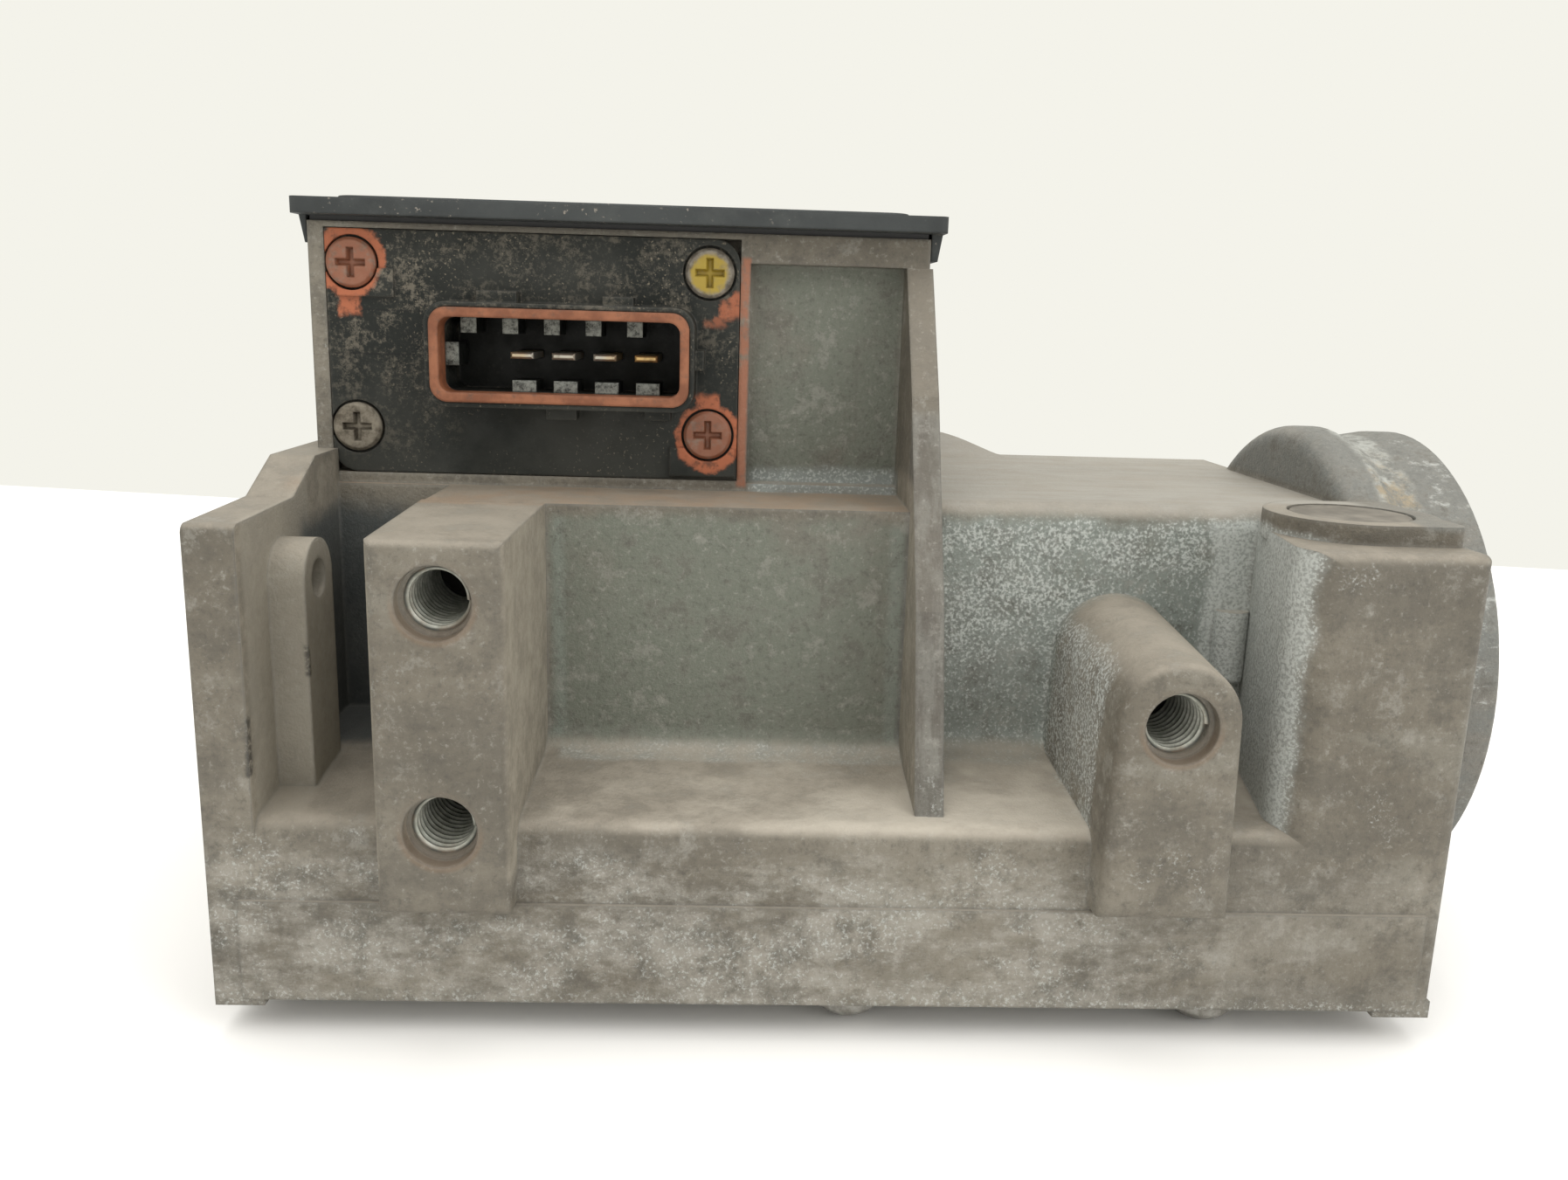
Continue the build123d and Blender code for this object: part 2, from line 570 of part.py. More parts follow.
    # Shaft boss, seats of the tension wheel and clip, posts of the board
    post((SHAFT_X, SHAFT_Y), BEARING_BOSS_R + 1.5, (CHAMBER_CEILING_Z, WHEEL_Z))
    post((SHAFT_X, SHAFT_Y), BEARING_BOSS_R, (CHAMBER_CEILING_Z, BEARING_BOSS_Z))
    post((SHAFT_X, SHAFT_Y), BUSH_R + PRESS_GAP, (CHAMBER_CEILING_Z, BEARING_BOSS_Z), Mode.SUBTRACT)
    post((CLIP_X, SHAFT_Y), 3.5, (BOX_FLOOR_Z, WHEEL_Z))
    post((CLIP_X, SHAFT_Y), 1.5, (BOX_FLOOR_Z, WHEEL_Z), Mode.SUBTRACT)
    for post_x in BOARD_POST_X:
        post((post_x, BOARD_POST_Y), 3.0, (BOX_FLOOR_Z, BOARD_Z))
        post((post_x, BOARD_POST_Y), 1.3, (BOARD_Z - 6, BOARD_Z), Mode.SUBTRACT)
    post((SENSOR_X, SENSOR_Y), SENSOR_R + FIT_GAP, (CEILING_Z, BOX_FLOOR_Z), Mode.SUBTRACT)

    # Seat and window of the connector plate
    span_box(
        (PLATE_X[0] - FIT_GAP, PLATE_X[1] + FIT_GAP),
        (BOX_FRONT_Y, BOX_FRONT_Y + PLATE_THICK),
        (PLATE_Z[0] - FIT_GAP, PLATE_Z[1] + FIT_GAP),
        Mode.SUBTRACT,
    )
    span_box(
        (SOCKET_X - SOCKET_SIZE[0] / 2 - 0.6, SOCKET_X + SOCKET_SIZE[0] / 2 + 0.6),
        (BOX_FRONT_Y, BOX_FRONT_Y + PLATE_THICK + WALL),
        (SOCKET_Z - SOCKET_SIZE[1] / 2 - 0.6, SOCKET_Z + SOCKET_SIZE[1] / 2 + 0.6),
        Mode.SUBTRACT,
    )
    with BuildSketch(Plane.XZ.offset(-BOX_FRONT_Y)):
        with Locations(*[(x, z) for x in PLATE_SCREW_X for z in PLATE_SCREW_Z]):
            Circle(PLATE_SCREW_R + PRESS_GAP)
    extrude(amount=-PLATE_THICK - WALL, mode=Mode.SUBTRACT)

    # Tapped bracket holes
    for hole_z, hole_depth in zip(BAR_HOLE_Z, BAR_HOLE_DEPTH):
        tapped_hole(BAR_HOLE_X, hole_z, hole_depth)
    tapped_hole(BOSS_X, BOSS_HOLE_Z, BOSS_HOLE_DEPTH)

    # Flange bolt holes: through at the posts, blind at the foot
    with BuildSketch(Plane.YZ.offset(FLANGE_X)):
        with Locations(*[(y, z) for y in FLANGE_BOLT_Y for z in FLANGE_BOLT_Z]):
            Circle(FLANGE_BOLT_R)
    extrude(amount=FLANGE_THICK + POST_PROUD, mode=Mode.SUBTRACT)

    # Bypass: channel in the rail, stepped bore in the tower, port back to the duct
    with BuildSketch(Plane.YZ.offset(FLANGE_X)):
        with Locations((CHANNEL_Y, CHANNEL_Z)):
            Circle(CHANNEL_R)
    extrude(amount=BYPASS_X - FLANGE_X, mode=Mode.SUBTRACT)
    post((BYPASS_X, BYPASS_Y), PLUG_R + FIT_GAP, (PAD_TOP_Z - PLUG_THICK, PAD_TOP_Z), Mode.SUBTRACT)
    post((BYPASS_X, BYPASS_Y), SCREW_BORE_R, (SEAT_Z, PAD_TOP_Z), Mode.SUBTRACT)
    post((BYPASS_X, BYPASS_Y), SEAT_R, (FLOOR_Z + 1, PAD_TOP_Z), Mode.SUBTRACT)
    with BuildSketch(Plane.XZ.offset(-BYPASS_Y)):
        with Locations((BYPASS_X, SEAT_Z - SEAT_R)):
            Circle(SEAT_R - 0.4)
    extrude(amount=BYPASS_Y - RIGHT_WALL_Y - WALL - 0.5, mode=Mode.SUBTRACT)

    # Tapped holes for the bottom cover's screws
    for spot in cover_screw_spots:
        post(spot, COVER_SCREW_R + PRESS_GAP, (BASE_Z, FLOOR_Z + 6), Mode.SUBTRACT)

# --- Bottom cover, gasket and screws ------------------------------------------------------
with BuildPart() as bottom_cover:
    with BuildSketch(Plane.XY.offset(cover_foot_z)):
        base_outline(SKIRT + COVER_GAP, EAR_R)
    extrude(amount=COVER_THICK)
    post((SHAFT_X, SHAFT_Y), BEARING_SEAT_R + 2.5, (BEARING_FLOOR_Z - 1.2, cover_foot_z))
    post(
        (SHAFT_X, SHAFT_Y),
        BEARING_SEAT_R + PRESS_GAP,
        (BEARING_FLOOR_Z, cover_top_z),
        Mode.SUBTRACT,
    )
    for spot in cover_screw_spots:
        post(spot, COVER_SCREW_R + FIT_GAP, (cover_foot_z, cover_top_z), Mode.SUBTRACT)

with BuildPart() as bottom_cover_gasket:
    with BuildSketch(Plane.XY.offset(cover_top_z)) as gasket_plan:
        base_outline(SKIRT + COVER_GAP, EAR_R)
    extrude(amount=GASKET_THICK)
    with BuildSketch(Plane.XY.offset(cover_top_z)):
        base_outline(WALL, 0)
    extrude(amount=GASKET_THICK, mode=Mode.SUBTRACT)
    for spot in cover_screw_spots:
        post(spot, COVER_SCREW_R + FIT_GAP, (cover_top_z, FLOOR_Z), Mode.SUBTRACT)

with BuildPart() as bottom_cover_screws:
    with BuildSketch(Plane.XZ, mode=Mode.PRIVATE) as screw_section:
        with BuildLine():
            Polyline(
                (COVER_HEAD_R, COVER_HEAD_DOME),
                (COVER_HEAD_R, cover_foot_z - WASHER_THICK),
                (COVER_HEAD_R + 0.3, cover_foot_z - WASHER_THICK),
                (COVER_HEAD_R + 0.3, cover_foot_z),
                (COVER_SCREW_R, cover_foot_z),
                (COVER_SCREW_R, FLOOR_Z + 5),
                (0, FLOOR_Z + 5),
                (0, 0),
            )
            TangentArc((0, 0), (COVER_HEAD_R, COVER_HEAD_DOME), tangent=(1, 0))
        make_face()
    with Locations(*[(x, y, 0) for x, y in cover_screw_spots]):
        add(revolve(screw_section.sketch, axis=Axis.Z, mode=Mode.PRIVATE))

# --- Lid and its seal ---------------------------------------------------------------------
lid_x = (BOX_X[0] - LID_OVERHANG_SIDE, BOX_X[1] + LID_OVERHANG_RIGHT)
lid_y = (BOX_FRONT_Y - LID_OVERHANG_FRONT, BOX_BACK_Y + LID_OVERHANG_RIGHT)
lid_foot_z = BOX_TOP_Z + SEAL_THICK

with BuildPart() as electronics_lid:
    with BuildSketch(Plane.XY.offset(lid_foot_z)) as lid_plan:
        span_rectangle(lid_x, lid_y)
        fillet(lid_plan.vertices().group_by(Axis.Y)[-1], BOX_CORNER_R + 1)
        fillet(lid_plan.vertices().group_by(Axis.Y)[0], 1)
    extrude(amount=LID_THICK)
    with BuildSketch(Plane.XY.offset(lid_foot_z + LID_THICK)) as crown_plan:
        span_rectangle((lid_x[0] + 4, lid_x[1] - 4), (lid_y[0] + 3, lid_y[1] - 4))
        fillet(crown_plan.vertices(), 3)
    extrude(amount=LID_RAISE, taper=30)
    with BuildSketch(Plane.XY.offset(lid_foot_z)) as skirt_plan:
        span_rectangle((lid_x[0] + 0.1, lid_x[1] - 0.2), (BOX_FRONT_Y, lid_y[1] - 0.2))
        fillet(skirt_plan.vertices().group_by(Axis.Y)[-1], BOX_CORNER_R + 0.8)
    extrude(amount=-LID_SKIRT, taper=8)
    with BuildSketch(Plane.XY.offset(lid_foot_z)) as skirt_room:
        span_rectangle(
            (BOX_X[0] - FIT_GAP, BOX_X[1] + FIT_GAP),
            (BOX_FRONT_Y - 1, BOX_BACK_Y + FIT_GAP),
        )
        fillet(skirt_room.vertices().group_by(Axis.Y)[-1], BOX_CORNER_R)
    extrude(amount=-LID_SKIRT, mode=Mode.SUBTRACT)

with BuildPart() as lid_seal:
    with BuildSketch(Plane.XY.offset(BOX_TOP_Z)) as seal_plan:
        span_rectangle((BOX_X[0] + 0.3, BOX_X[1] - 0.3), (BOX_FRONT_Y + 0.3, BOX_BACK_Y - 0.3))
        fillet(seal_plan.vertices().group_by(Axis.Y)[-1], BOX_CORNER_R - 0.3)
        span_rectangle(
            (BOX_X[0] + WALL - 0.3, BOX_X[1] - WALL + 0.3),
            (BOX_FRONT_Y + PLATE_THICK + WALL - 0.3, BOX_BACK_Y - WALL + 0.3),
            mode=Mode.SUBTRACT,
        )
    extrude(amount=SEAL_THICK)

# --- Connector plate ----------------------------------------------------------------------
socket_front_y = BOX_FRONT_Y - SOCKET_PROUD
plate_back_y = BOX_FRONT_Y + PLATE_THICK
socket_plane = Plane.XZ.shift_origin((SOCKET_X, 0, SOCKET_Z))

with BuildPart() as connector_plate:
    with BuildSketch(Plane.XZ.offset(-plate_back_y)) as plate_plan:
        span_rectangle(PLATE_X, PLATE_Z)
        fillet(plate_plan.vertices().sort_by_distance((PLATE_X[1], PLATE_Z[1]))[0], 3)
        fillet(plate_plan.vertices().sort_by_distance((PLATE_X[0], PLATE_Z[0]))[0], 3)
    extrude(amount=PLATE_THICK)

    # Corner pads round the screws
    with BuildSketch(Plane.XZ.offset(-BOX_FRONT_Y)) as corner_pads:
        span_rectangle((PLATE_X[0] + 1.4, PLATE_X[0] + 8.2), (PLATE_Z[1] - 8.0, PLATE_Z[1] - 4.6))
        span_rectangle((PLATE_X[1] - 8.4, PLATE_X[1] - 0.2), (PLATE_Z[0] + 0.4, PLATE_Z[0] + 4.0))
    extrude(amount=0.5)

    # Socket shell with its lugs
    with BuildSketch(socket_plane.offset(-BOX_FRONT_Y)):
        rounded_bar(SOCKET_SIZE, 2.6)
    extrude(amount=SOCKET_PROUD, taper=1)
    with BuildSketch(socket_plane.offset(-BOX_FRONT_Y)):
        span_rectangle((-10.2, -5.4), (0, SOCKET_SIZE[1] / 2 + 1.3))
        span_rectangle((4.9, 8.6), (0, SOCKET_SIZE[1] / 2 + 1.0))
        span_rectangle((-2.0, 1.7), (-SOCKET_SIZE[1] / 2 - 1.3, 0))
        span_rectangle((10.0, 13.2), (-SOCKET_SIZE[1] / 2 - 1.1, 0))
        span_rectangle((0, SOCKET_SIZE[0] / 2 + 1.0), (-1.2, 1.2))
    extrude(amount=SOCKET_PROUD * 0.6)

    # Socket body behind the plate
    with BuildSketch(socket_plane.offset(-plate_back_y)):
        rounded_bar(SOCKET_SIZE, 2.6)
    extrude(amount=-WALL - 3)

    # Mouth for the rubber ring, then the cavity for the plug
    with BuildSketch(socket_plane.offset(-socket_front_y)):
        rounded_bar((SEAL_SIZE[0] + FIT_GAP, SEAL_SIZE[1] + FIT_GAP), 2.2)
    extrude(amount=-SEAL_DEPTH, mode=Mode.SUBTRACT)
    with BuildSketch(socket_plane.offset(-socket_front_y)):
        rounded_bar(CAVITY_SIZE, 1.4)
    extrude(amount=-SOCKET_PROUD - PLATE_THICK - 3, mode=Mode.SUBTRACT)

    # Guide ribs in the cavity, over and under each blade place
    rib_depth = 5.5
    with BuildSketch(socket_plane.offset(-socket_front_y - SEAL_DEPTH)):
        for step in (-2, -1, 0, 1, 2):
            with Locations((step * PIN_PITCH - 1.4, CAVITY_SIZE[1] / 2 - 0.9)):
                Rectangle(1.9, 2.0)
        for step in (-1, 0, 1, 2):
            with Locations((step * PIN_PITCH + 0.2, 0.7 - CAVITY_SIZE[1] / 2)):
                Rectangle(2.9, 1.5)
        with Locations((0.8 - CAVITY_SIZE[0] / 2, 0)):
            Rectangle(1.7, 2.8)
    extrude(amount=-rib_depth)

    # Slots for the blades, recesses and holes for the screws
    for pin_x in pin_xs:
        span_box(
            (pin_x - PIN_WIDTH / 2 - FIT_GAP / 2, pin_x + PIN_WIDTH / 2 + FIT_GAP / 2),
            (BOX_FRONT_Y, 10),
            (SOCKET_Z - PIN_THICK / 2 - FIT_GAP / 2, SOCKET_Z + PIN_THICK / 2 + FIT_GAP / 2),
            Mode.SUBTRACT,
        )
    screw_spots = [(x, z) for x in PLATE_SCREW_X for z in PLATE_SCREW_Z]
    with BuildSketch(Plane.XZ.offset(1 - BOX_FRONT_Y)):
        with Locations(*screw_spots):
            Circle(PLATE_HEAD_R + 0.3)
    extrude(amount=-1.9, mode=Mode.SUBTRACT)
    with BuildSketch(Plane.XZ.offset(1 - BOX_FRONT_Y)):
        with Locations(*screw_spots):
            Circle(PLATE_SCREW_R + FIT_GAP)
    extrude(amount=-1 - PLATE_THICK, mode=Mode.SUBTRACT)

with BuildPart() as connector_seal:
    with BuildSketch(socket_plane.offset(0.3 - socket_front_y)):
        rounded_bar(SEAL_SIZE, 2.1)
        rounded_bar(CAVITY_SIZE, 1.4, mode=Mode.SUBTRACT)
    extrude(amount=-SEAL_DEPTH - 0.3)

with BuildPart() as plate_screws:
    head_front = -BOX_FRONT_Y + 0.5
    with BuildSketch(Plane.XZ.offset(head_front)):
        with Locations(*screw_spots):
            Circle(PLATE_HEAD_R)
    extrude(amount=-1.4)
    with BuildSketch(Plane.XZ.offset(head_front - 1.4)):
        with Locations(*screw_spots):
            Circle(PLATE_SCREW_R)
    extrude(amount=0.3 - PLATE_THICK - WALL + 0.9)
    chamfer(plate_screws.faces().filter_by(Axis.Y).group_by(Axis.Y)[0].edges(), 0.35)
    with BuildSketch(Plane.XZ.offset(head_front)):
        with Locations(*screw_spots):
            Rectangle(3.6, 0.9)
            Rectangle(0.9, 3.6)
    extrude(amount=-0.9, taper=15, mode=Mode.SUBTRACT)


def make_terminal(x):
    """One blade terminal: contact blade in the socket, strip inside, foot on the board."""
    blade_front = socket_front_y + 3.0
    foot_y = BOARD_Y[0] + 1.5
    top = SOCKET_Z + PIN_THICK / 2
    with BuildPart() as terminal:
        span_box(
            (x - PIN_WIDTH / 2, x + PIN_WIDTH / 2),
            (blade_front, foot_y + PIN_THICK),
            (top - PIN_THICK, top),
        )
        span_box((x - PIN_WIDTH / 2, x + PIN_WIDTH / 2), (foot_y, foot_y + PIN_THICK), (board_top_z, top))
        blade_tip = terminal.faces().sort_by(Axis.Y)[0]
        chamfer(blade_tip.edges(), 0.25)
    return terminal.part


terminals = [make_terminal(x) for x in pin_xs]

# --- Vanes and shaft ----------------------------------------------------------------------
with BuildPart() as measuring_flap:
    post((SHAFT_X, SHAFT_Y), HUB_R, (VANE_FOOT_Z, damping_top_z))

    # Measuring vane, across the duct at rest, with stiffening ribs on its lee side
    span_box(
        (SHAFT_X - VANE_THICK / 2, SHAFT_X + VANE_THICK / 2),
        (SHAFT_Y - vane_length, SHAFT_Y),
        (VANE_FOOT_Z, measuring_top_z),
    )
    for rib_z in (15.0, 30.4, 45.8):
        span_box(
            (SHAFT_X, SHAFT_X + VANE_THICK / 2 + 1.1),
            (SHAFT_Y - vane_length + 2, SHAFT_Y - 20),
            (rib_z - 0.7, rib_z + 0.7),
        )

    # Damping vane, in the chamber
    damping_plane = Plane(
        origin=(SHAFT_X, SHAFT_Y, VANE_FOOT_Z),
        x_dir=(cos(radians(DAMPING_ANGLE)), sin(radians(DAMPING_ANGLE)), 0),
        z_dir=(0, 0, 1),
    )
    with BuildSketch(damping_plane):
        with Locations(((CHAMBER_R - VANE_GAP) / 2, 0)):
            Rectangle(CHAMBER_R - VANE_GAP, DAMPING_THICK)
    extrude(amount=damping_top_z - VANE_FOOT_Z)
    post((SHAFT_X, SHAFT_Y), SHAFT_R + PRESS_GAP, (VANE_FOOT_Z, damping_top_z), Mode.SUBTRACT)

with BuildPart() as flap_shaft:
    post((SHAFT_X, SHAFT_Y), SHAFT_R, (SHAFT_FOOT_Z, SHAFT_TOP_Z))
    chamfer(flap_shaft.edges().group_by(Axis.Z)[0], 0.6)
    chamfer(flap_shaft.edges().group_by(Axis.Z)[-1], 0.4)

with BuildPart() as lower_bearing:
    post((SHAFT_X, SHAFT_Y), BEARING_SEAT_R, (BEARING_FLOOR_Z, cover_top_z))
    post((SHAFT_X, SHAFT_Y), SHAFT_R + RUNNING_GAP, (BEARING_FLOOR_Z, cover_top_z), Mode.SUBTRACT)

with BuildPart() as upper_bearing:
    post((SHAFT_X, SHAFT_Y), BUSH_R, (CHAMBER_CEILING_Z, BEARING_BOSS_Z))
    post(
        (SHAFT_X, SHAFT_Y),
        SHAFT_R + RUNNING_GAP,
        (CHAMBER_CEILING_Z, BEARING_BOSS_Z),
        Mode.SUBTRACT,
    )

# --- Spring, tension wheel and catch ------------------------------------------------------
with BuildPart() as tension_wheel:
    post((SHAFT_X, SHAFT_Y), WHEEL_R - TOOTH_DEPTH, (WHEEL_Z, WHEEL_TOP_Z))
    tooth_root = 2 * pi * (WHEEL_R - TOOTH_DEPTH) / WHEEL_TEETH * 0.72
    with BuildSketch(Plane.XY.offset(WHEEL_Z)):
        with Locations((SHAFT_X, SHAFT_Y)):
            with PolarLocations(WHEEL_R - TOOTH_DEPTH / 2 - 0.1, WHEEL_TEETH):
                Trapezoid(tooth_root, TOOTH_DEPTH + 0.2, 68, rotation=-90)
    extrude(amount=WHEEL_TOP_Z - WHEEL_Z)
    post(
        (SHAFT_X, SHAFT_Y),
        WHEEL_R - TOOTH_DEPTH - WHEEL_RIM,
        (WHEEL_Z + WHEEL_RIM, WHEEL_TOP_Z),
        Mode.SUBTRACT,
    )
    post(
        (SHAFT_X, SHAFT_Y),
        BEARING_BOSS_R + FIT_GAP,
        (WHEEL_Z, WHEEL_Z + WHEEL_RIM),
        Mode.SUBTRACT,
    )

spring_inner_r = ARBOR_R + 0.3 + SPRING_THICK / 2
spring_outer_r = WHEEL_R - TOOTH_DEPTH - WHEEL_RIM - 0.1 - SPRING_THICK / 2
SPRING_STEPS = 12  # spline points in a turn


def spiral_points(shift):
    """Points of the spring's spiral, shifted sideways by half its thickness."""
    count = SPRING_TURNS * SPRING_STEPS
    points = []
    for step in range(count + 1):
        radius = spring_inner_r + (spring_outer_r - spring_inner_r) * step / count + shift
        angle = 2 * pi * step / SPRING_STEPS
        points.append((SHAFT_X + radius * cos(angle), SHAFT_Y + radius * sin(angle)))
    return points


with BuildPart() as return_spring:
    with BuildSketch(Plane.XY.offset(spring_foot_z)):
        with BuildLine():
            inner_side = Spline(*spiral_points(-SPRING_THICK / 2))
            outer_side = Spline(*spiral_points(SPRING_THICK / 2))
            Line(inner_side @ 0, outer_side @ 0)
            Line(inner_side @ 1, outer_side @ 1)
        make_face()
    extrude(amount=spring_width)

catch_y = (SHAFT_Y - 2.5, SHAFT_Y + 2.5)
catch_thick = 0.7
with BuildPart() as wheel_clip:
    tongue_z = (WHEEL_Z + WHEEL_TOP_Z) / 2
    riser_x = CLIP_X + 4.5
    span_box((CLIP_X - 4, riser_x), catch_y, (WHEEL_Z, WHEEL_Z + catch_thick))
    span_box((riser_x - catch_thick, riser_x), catch_y, (WHEEL_Z, tongue_z))
    span_box(
        (riser_x - catch_thick, SHAFT_X - WHEEL_R - 0.3),
        (SHAFT_Y - 1.2, SHAFT_Y + 1.2),
        (tongue_z - catch_thick, tongue_z),
    )
    post((CLIP_X, SHAFT_Y), 1.6, (WHEEL_Z, WHEEL_Z + catch_thick), Mode.SUBTRACT)


def small_screw(spot, seat_z, shank_r, length):
    """A slotted cheese-head screw standing on seat_z, in the current part."""
    head_r = shank_r * 1.9
    post(spot, head_r, (seat_z, seat_z + 1.8))
    post(spot, shank_r, (seat_z - length, seat_z))
    span_box(
        (spot[0] - head_r, spot[0] + head_r),
        (spot[1] - 0.35, spot[1] + 0.35),
        (seat_z + 1.0, seat_z + 1.8),
        Mode.SUBTRACT,
    )


with BuildPart() as wheel_clip_screw:
    small_screw((CLIP_X, SHAFT_Y), WHEEL_Z + catch_thick, 1.5 - PRESS_GAP, 4.0)

# --- Wiper, counterweight and board -------------------------------------------------------
wiper_z = (board_top_z + 1.0, board_top_z + 3.0)
weight_z = (SOCKET_Z + 3.4, SOCKET_Z + 6.9)
wiper_plane = Plane(
    origin=(SHAFT_X, SHAFT_Y, wiper_z[0]),
    x_dir=(cos(radians(WIPER_REST)), sin(radians(WIPER_REST)), 0),
    z_dir=(0, 0, 1),
)

with BuildPart() as wiper_arm:
    post((SHAFT_X, SHAFT_Y), ARBOR_R, (BEARING_BOSS_Z + 0.4, weight_z[0]))
    with BuildSketch(wiper_plane):
        Polygon((0, -2.4), (WIPER_LENGTH, -1.5), (WIPER_LENGTH, 1.5), (0, 2.4), align=None)
    extrude(amount=wiper_z[1] - wiper_z[0])
    post(
        (SHAFT_X, SHAFT_Y),
        SHAFT_R + PRESS_GAP,
        (BEARING_BOSS_Z + 0.4, weight_z[0]),
        Mode.SUBTRACT,
    )

with BuildPart() as wiper_contact:
    with BuildSketch(wiper_plane.offset(-0.3)):
        with Locations((WIPER_LENGTH - 3, 0)):
            Rectangle(5, 2.6)
    extrude(amount=0.3)
    with BuildSketch(wiper_plane.offset(-0.3)):
        with Locations((WIPER_LENGTH - 1.2, 0.8), (WIPER_LENGTH - 1.2, -0.8)):
            Rectangle(1.0, 0.7)
    extrude(amount=-0.6)

with BuildPart() as counterweight:
    with BuildSketch(Plane.XY.offset(weight_z[0])):
        sector(11.0, WIPER_REST + 145, WIPER_REST + 215)
        with Locations((SHAFT_X, SHAFT_Y)):
            Circle(ARBOR_R)
            Circle(SHAFT_R + PRESS_GAP, mode=Mode.SUBTRACT)
    extrude(amount=weight_z[1] - weight_z[0])

with BuildPart() as resistor_board:
    with BuildSketch(Plane.XY.offset(BOARD_Z)) as board_plan:
        span_rectangle(BOARD_X, BOARD_Y)
        fillet(board_plan.vertices().group_by(Axis.Y)[-1], 1.5)
        with Locations((SHAFT_X, SHAFT_Y)):
            Circle(ARBOR_R + 2.5, mode=Mode.SUBTRACT)
        with Locations(*[(x, BOARD_POST_Y) for x in BOARD_POST_X]):
            Circle(1.4, mode=Mode.SUBTRACT)
    extrude(amount=BOARD_THICK)

with BuildPart() as board_screws:
    for post_x in BOARD_POST_X:
        small_screw((post_x, BOARD_POST_Y), board_top_z, 1.3 - PRESS_GAP, 5.0)

# --- Idle bypass screw, its seal ring and the tamper plug ---------------------------------
groove_z = 43.0
with BuildPart() as bypass_screw:
    with BuildSketch(Plane.XZ, mode=Mode.PRIVATE) as needle_section:
        Polygon(
            (0, SEAT_Z - 1.5),
            (SEAT_R - 1.2, SEAT_Z - 1.5),
            (SEAT_R - 0.2, SEAT_Z + 1.5),
            (SEAT_R - 0.2, 26.0),
            (SCREW_BORE_R - PRESS_GAP, 28.0),
            (SCREW_BORE_R - PRESS_GAP, groove_z - 0.8),
            (SCREW_BORE_R - 1.3, groove_z - 0.8),
            (SCREW_BORE_R - 1.3, groove_z + 0.8),
            (SCREW_BORE_R - PRESS_GAP, groove_z + 0.8),
            (SCREW_BORE_R - PRESS_GAP, 50.0),
            (0, 50.0),
            align=None,
        )
    with Locations((BYPASS_X, BYPASS_Y, 0)):
        add(revolve(needle_section.sketch, axis=Axis.Z, mode=Mode.PRIVATE))
    span_box(
        (BYPASS_X - SCREW_BORE_R, BYPASS_X + SCREW_BORE_R),
        (BYPASS_Y - 0.6, BYPASS_Y + 0.6),
        (48.2, 50.0),
        Mode.SUBTRACT,
    )

with BuildPart() as bypass_seal_ring:
    ring_r = 0.62
    with Locations((BYPASS_X, BYPASS_Y, groove_z)):
        Torus(SCREW_BORE_R - ring_r - PRESS_GAP, ring_r)

with BuildPart() as bypass_plug:
    post((BYPASS_X, BYPASS_Y), PLUG_R, (PAD_TOP_Z - PLUG_THICK, PAD_TOP_Z - 0.1))
    chamfer(bypass_plug.edges().group_by(Axis.Z)[-1], 0.3)

# --- Intake air temperature sensor --------------------------------------------------------
with BuildPart() as temperature_sensor:
    post((SENSOR_X, SENSOR_Y), SENSOR_R + 2.5, (BOX_FLOOR_Z, BOX_FLOOR_Z + 2))
    post((SENSOR_X, SENSOR_Y), SENSOR_R, (46.0, BOX_FLOOR_Z))
    post((SENSOR_X, SENSOR_Y), SENSOR_R / 2, (37.0, 46.0))
    fillet(temperature_sensor.edges().group_by(Axis.Z)[0], SENSOR_R / 2 - 0.2)

# --- Labels and files ---------------------------------------------------------------------
pieces = {
    "main_housing": main_housing.part,
    "bottom_cover": bottom_cover.part,
    "bottom_cover_gasket": bottom_cover_gasket.part,
    "bottom_cover_screws": bottom_cover_screws.part,
    "electronics_lid": electronics_lid.part,
    "lid_seal": lid_seal.part,
    "connector_plate": connector_plate.part,
    "connector_seal": connector_seal.part,
    "plate_screws": plate_screws.part,
    "measuring_flap": measuring_flap.part,
    "flap_shaft": flap_shaft.part,
    "lower_bearing": lower_bearing.part,
    "upper_bearing": upper_bearing.part,
    "tension_wheel": tension_wheel.part,
    "return_spring": return_spring.part,
    "wheel_clip": wheel_clip.part,
    "wheel_clip_screw": wheel_clip_screw.part,
    "wiper_arm": wiper_arm.part,
    "wiper_contact": wiper_contact.part,
    "counterweight": counterweight.part,
    "resistor_board": resistor_board.part,
    "board_screws": board_screws.part,
    "bypass_screw": bypass_screw.part,
    "bypass_seal_ring": bypass_seal_ring.part,
    "bypass_plug": bypass_plug.part,
    "temperature_sensor": temperature_sensor.part,
}
for number, terminal in enumerate(terminals, start=1):
    pieces[f"terminal_{number}"] = terminal

for name, piece in pieces.items():
    piece.label = name
    export_step(piece, f"parts/{name}.step")
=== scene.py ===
"""Looks of the flap-type air flow meter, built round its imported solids.

Every length is in metres, in the part's own frame: +X with the flow, +Y away from the viewer, +Z up.
Every colour is linear.
"""

import json
import math

import bmesh
import bpy
from mathutils import Matrix, Vector


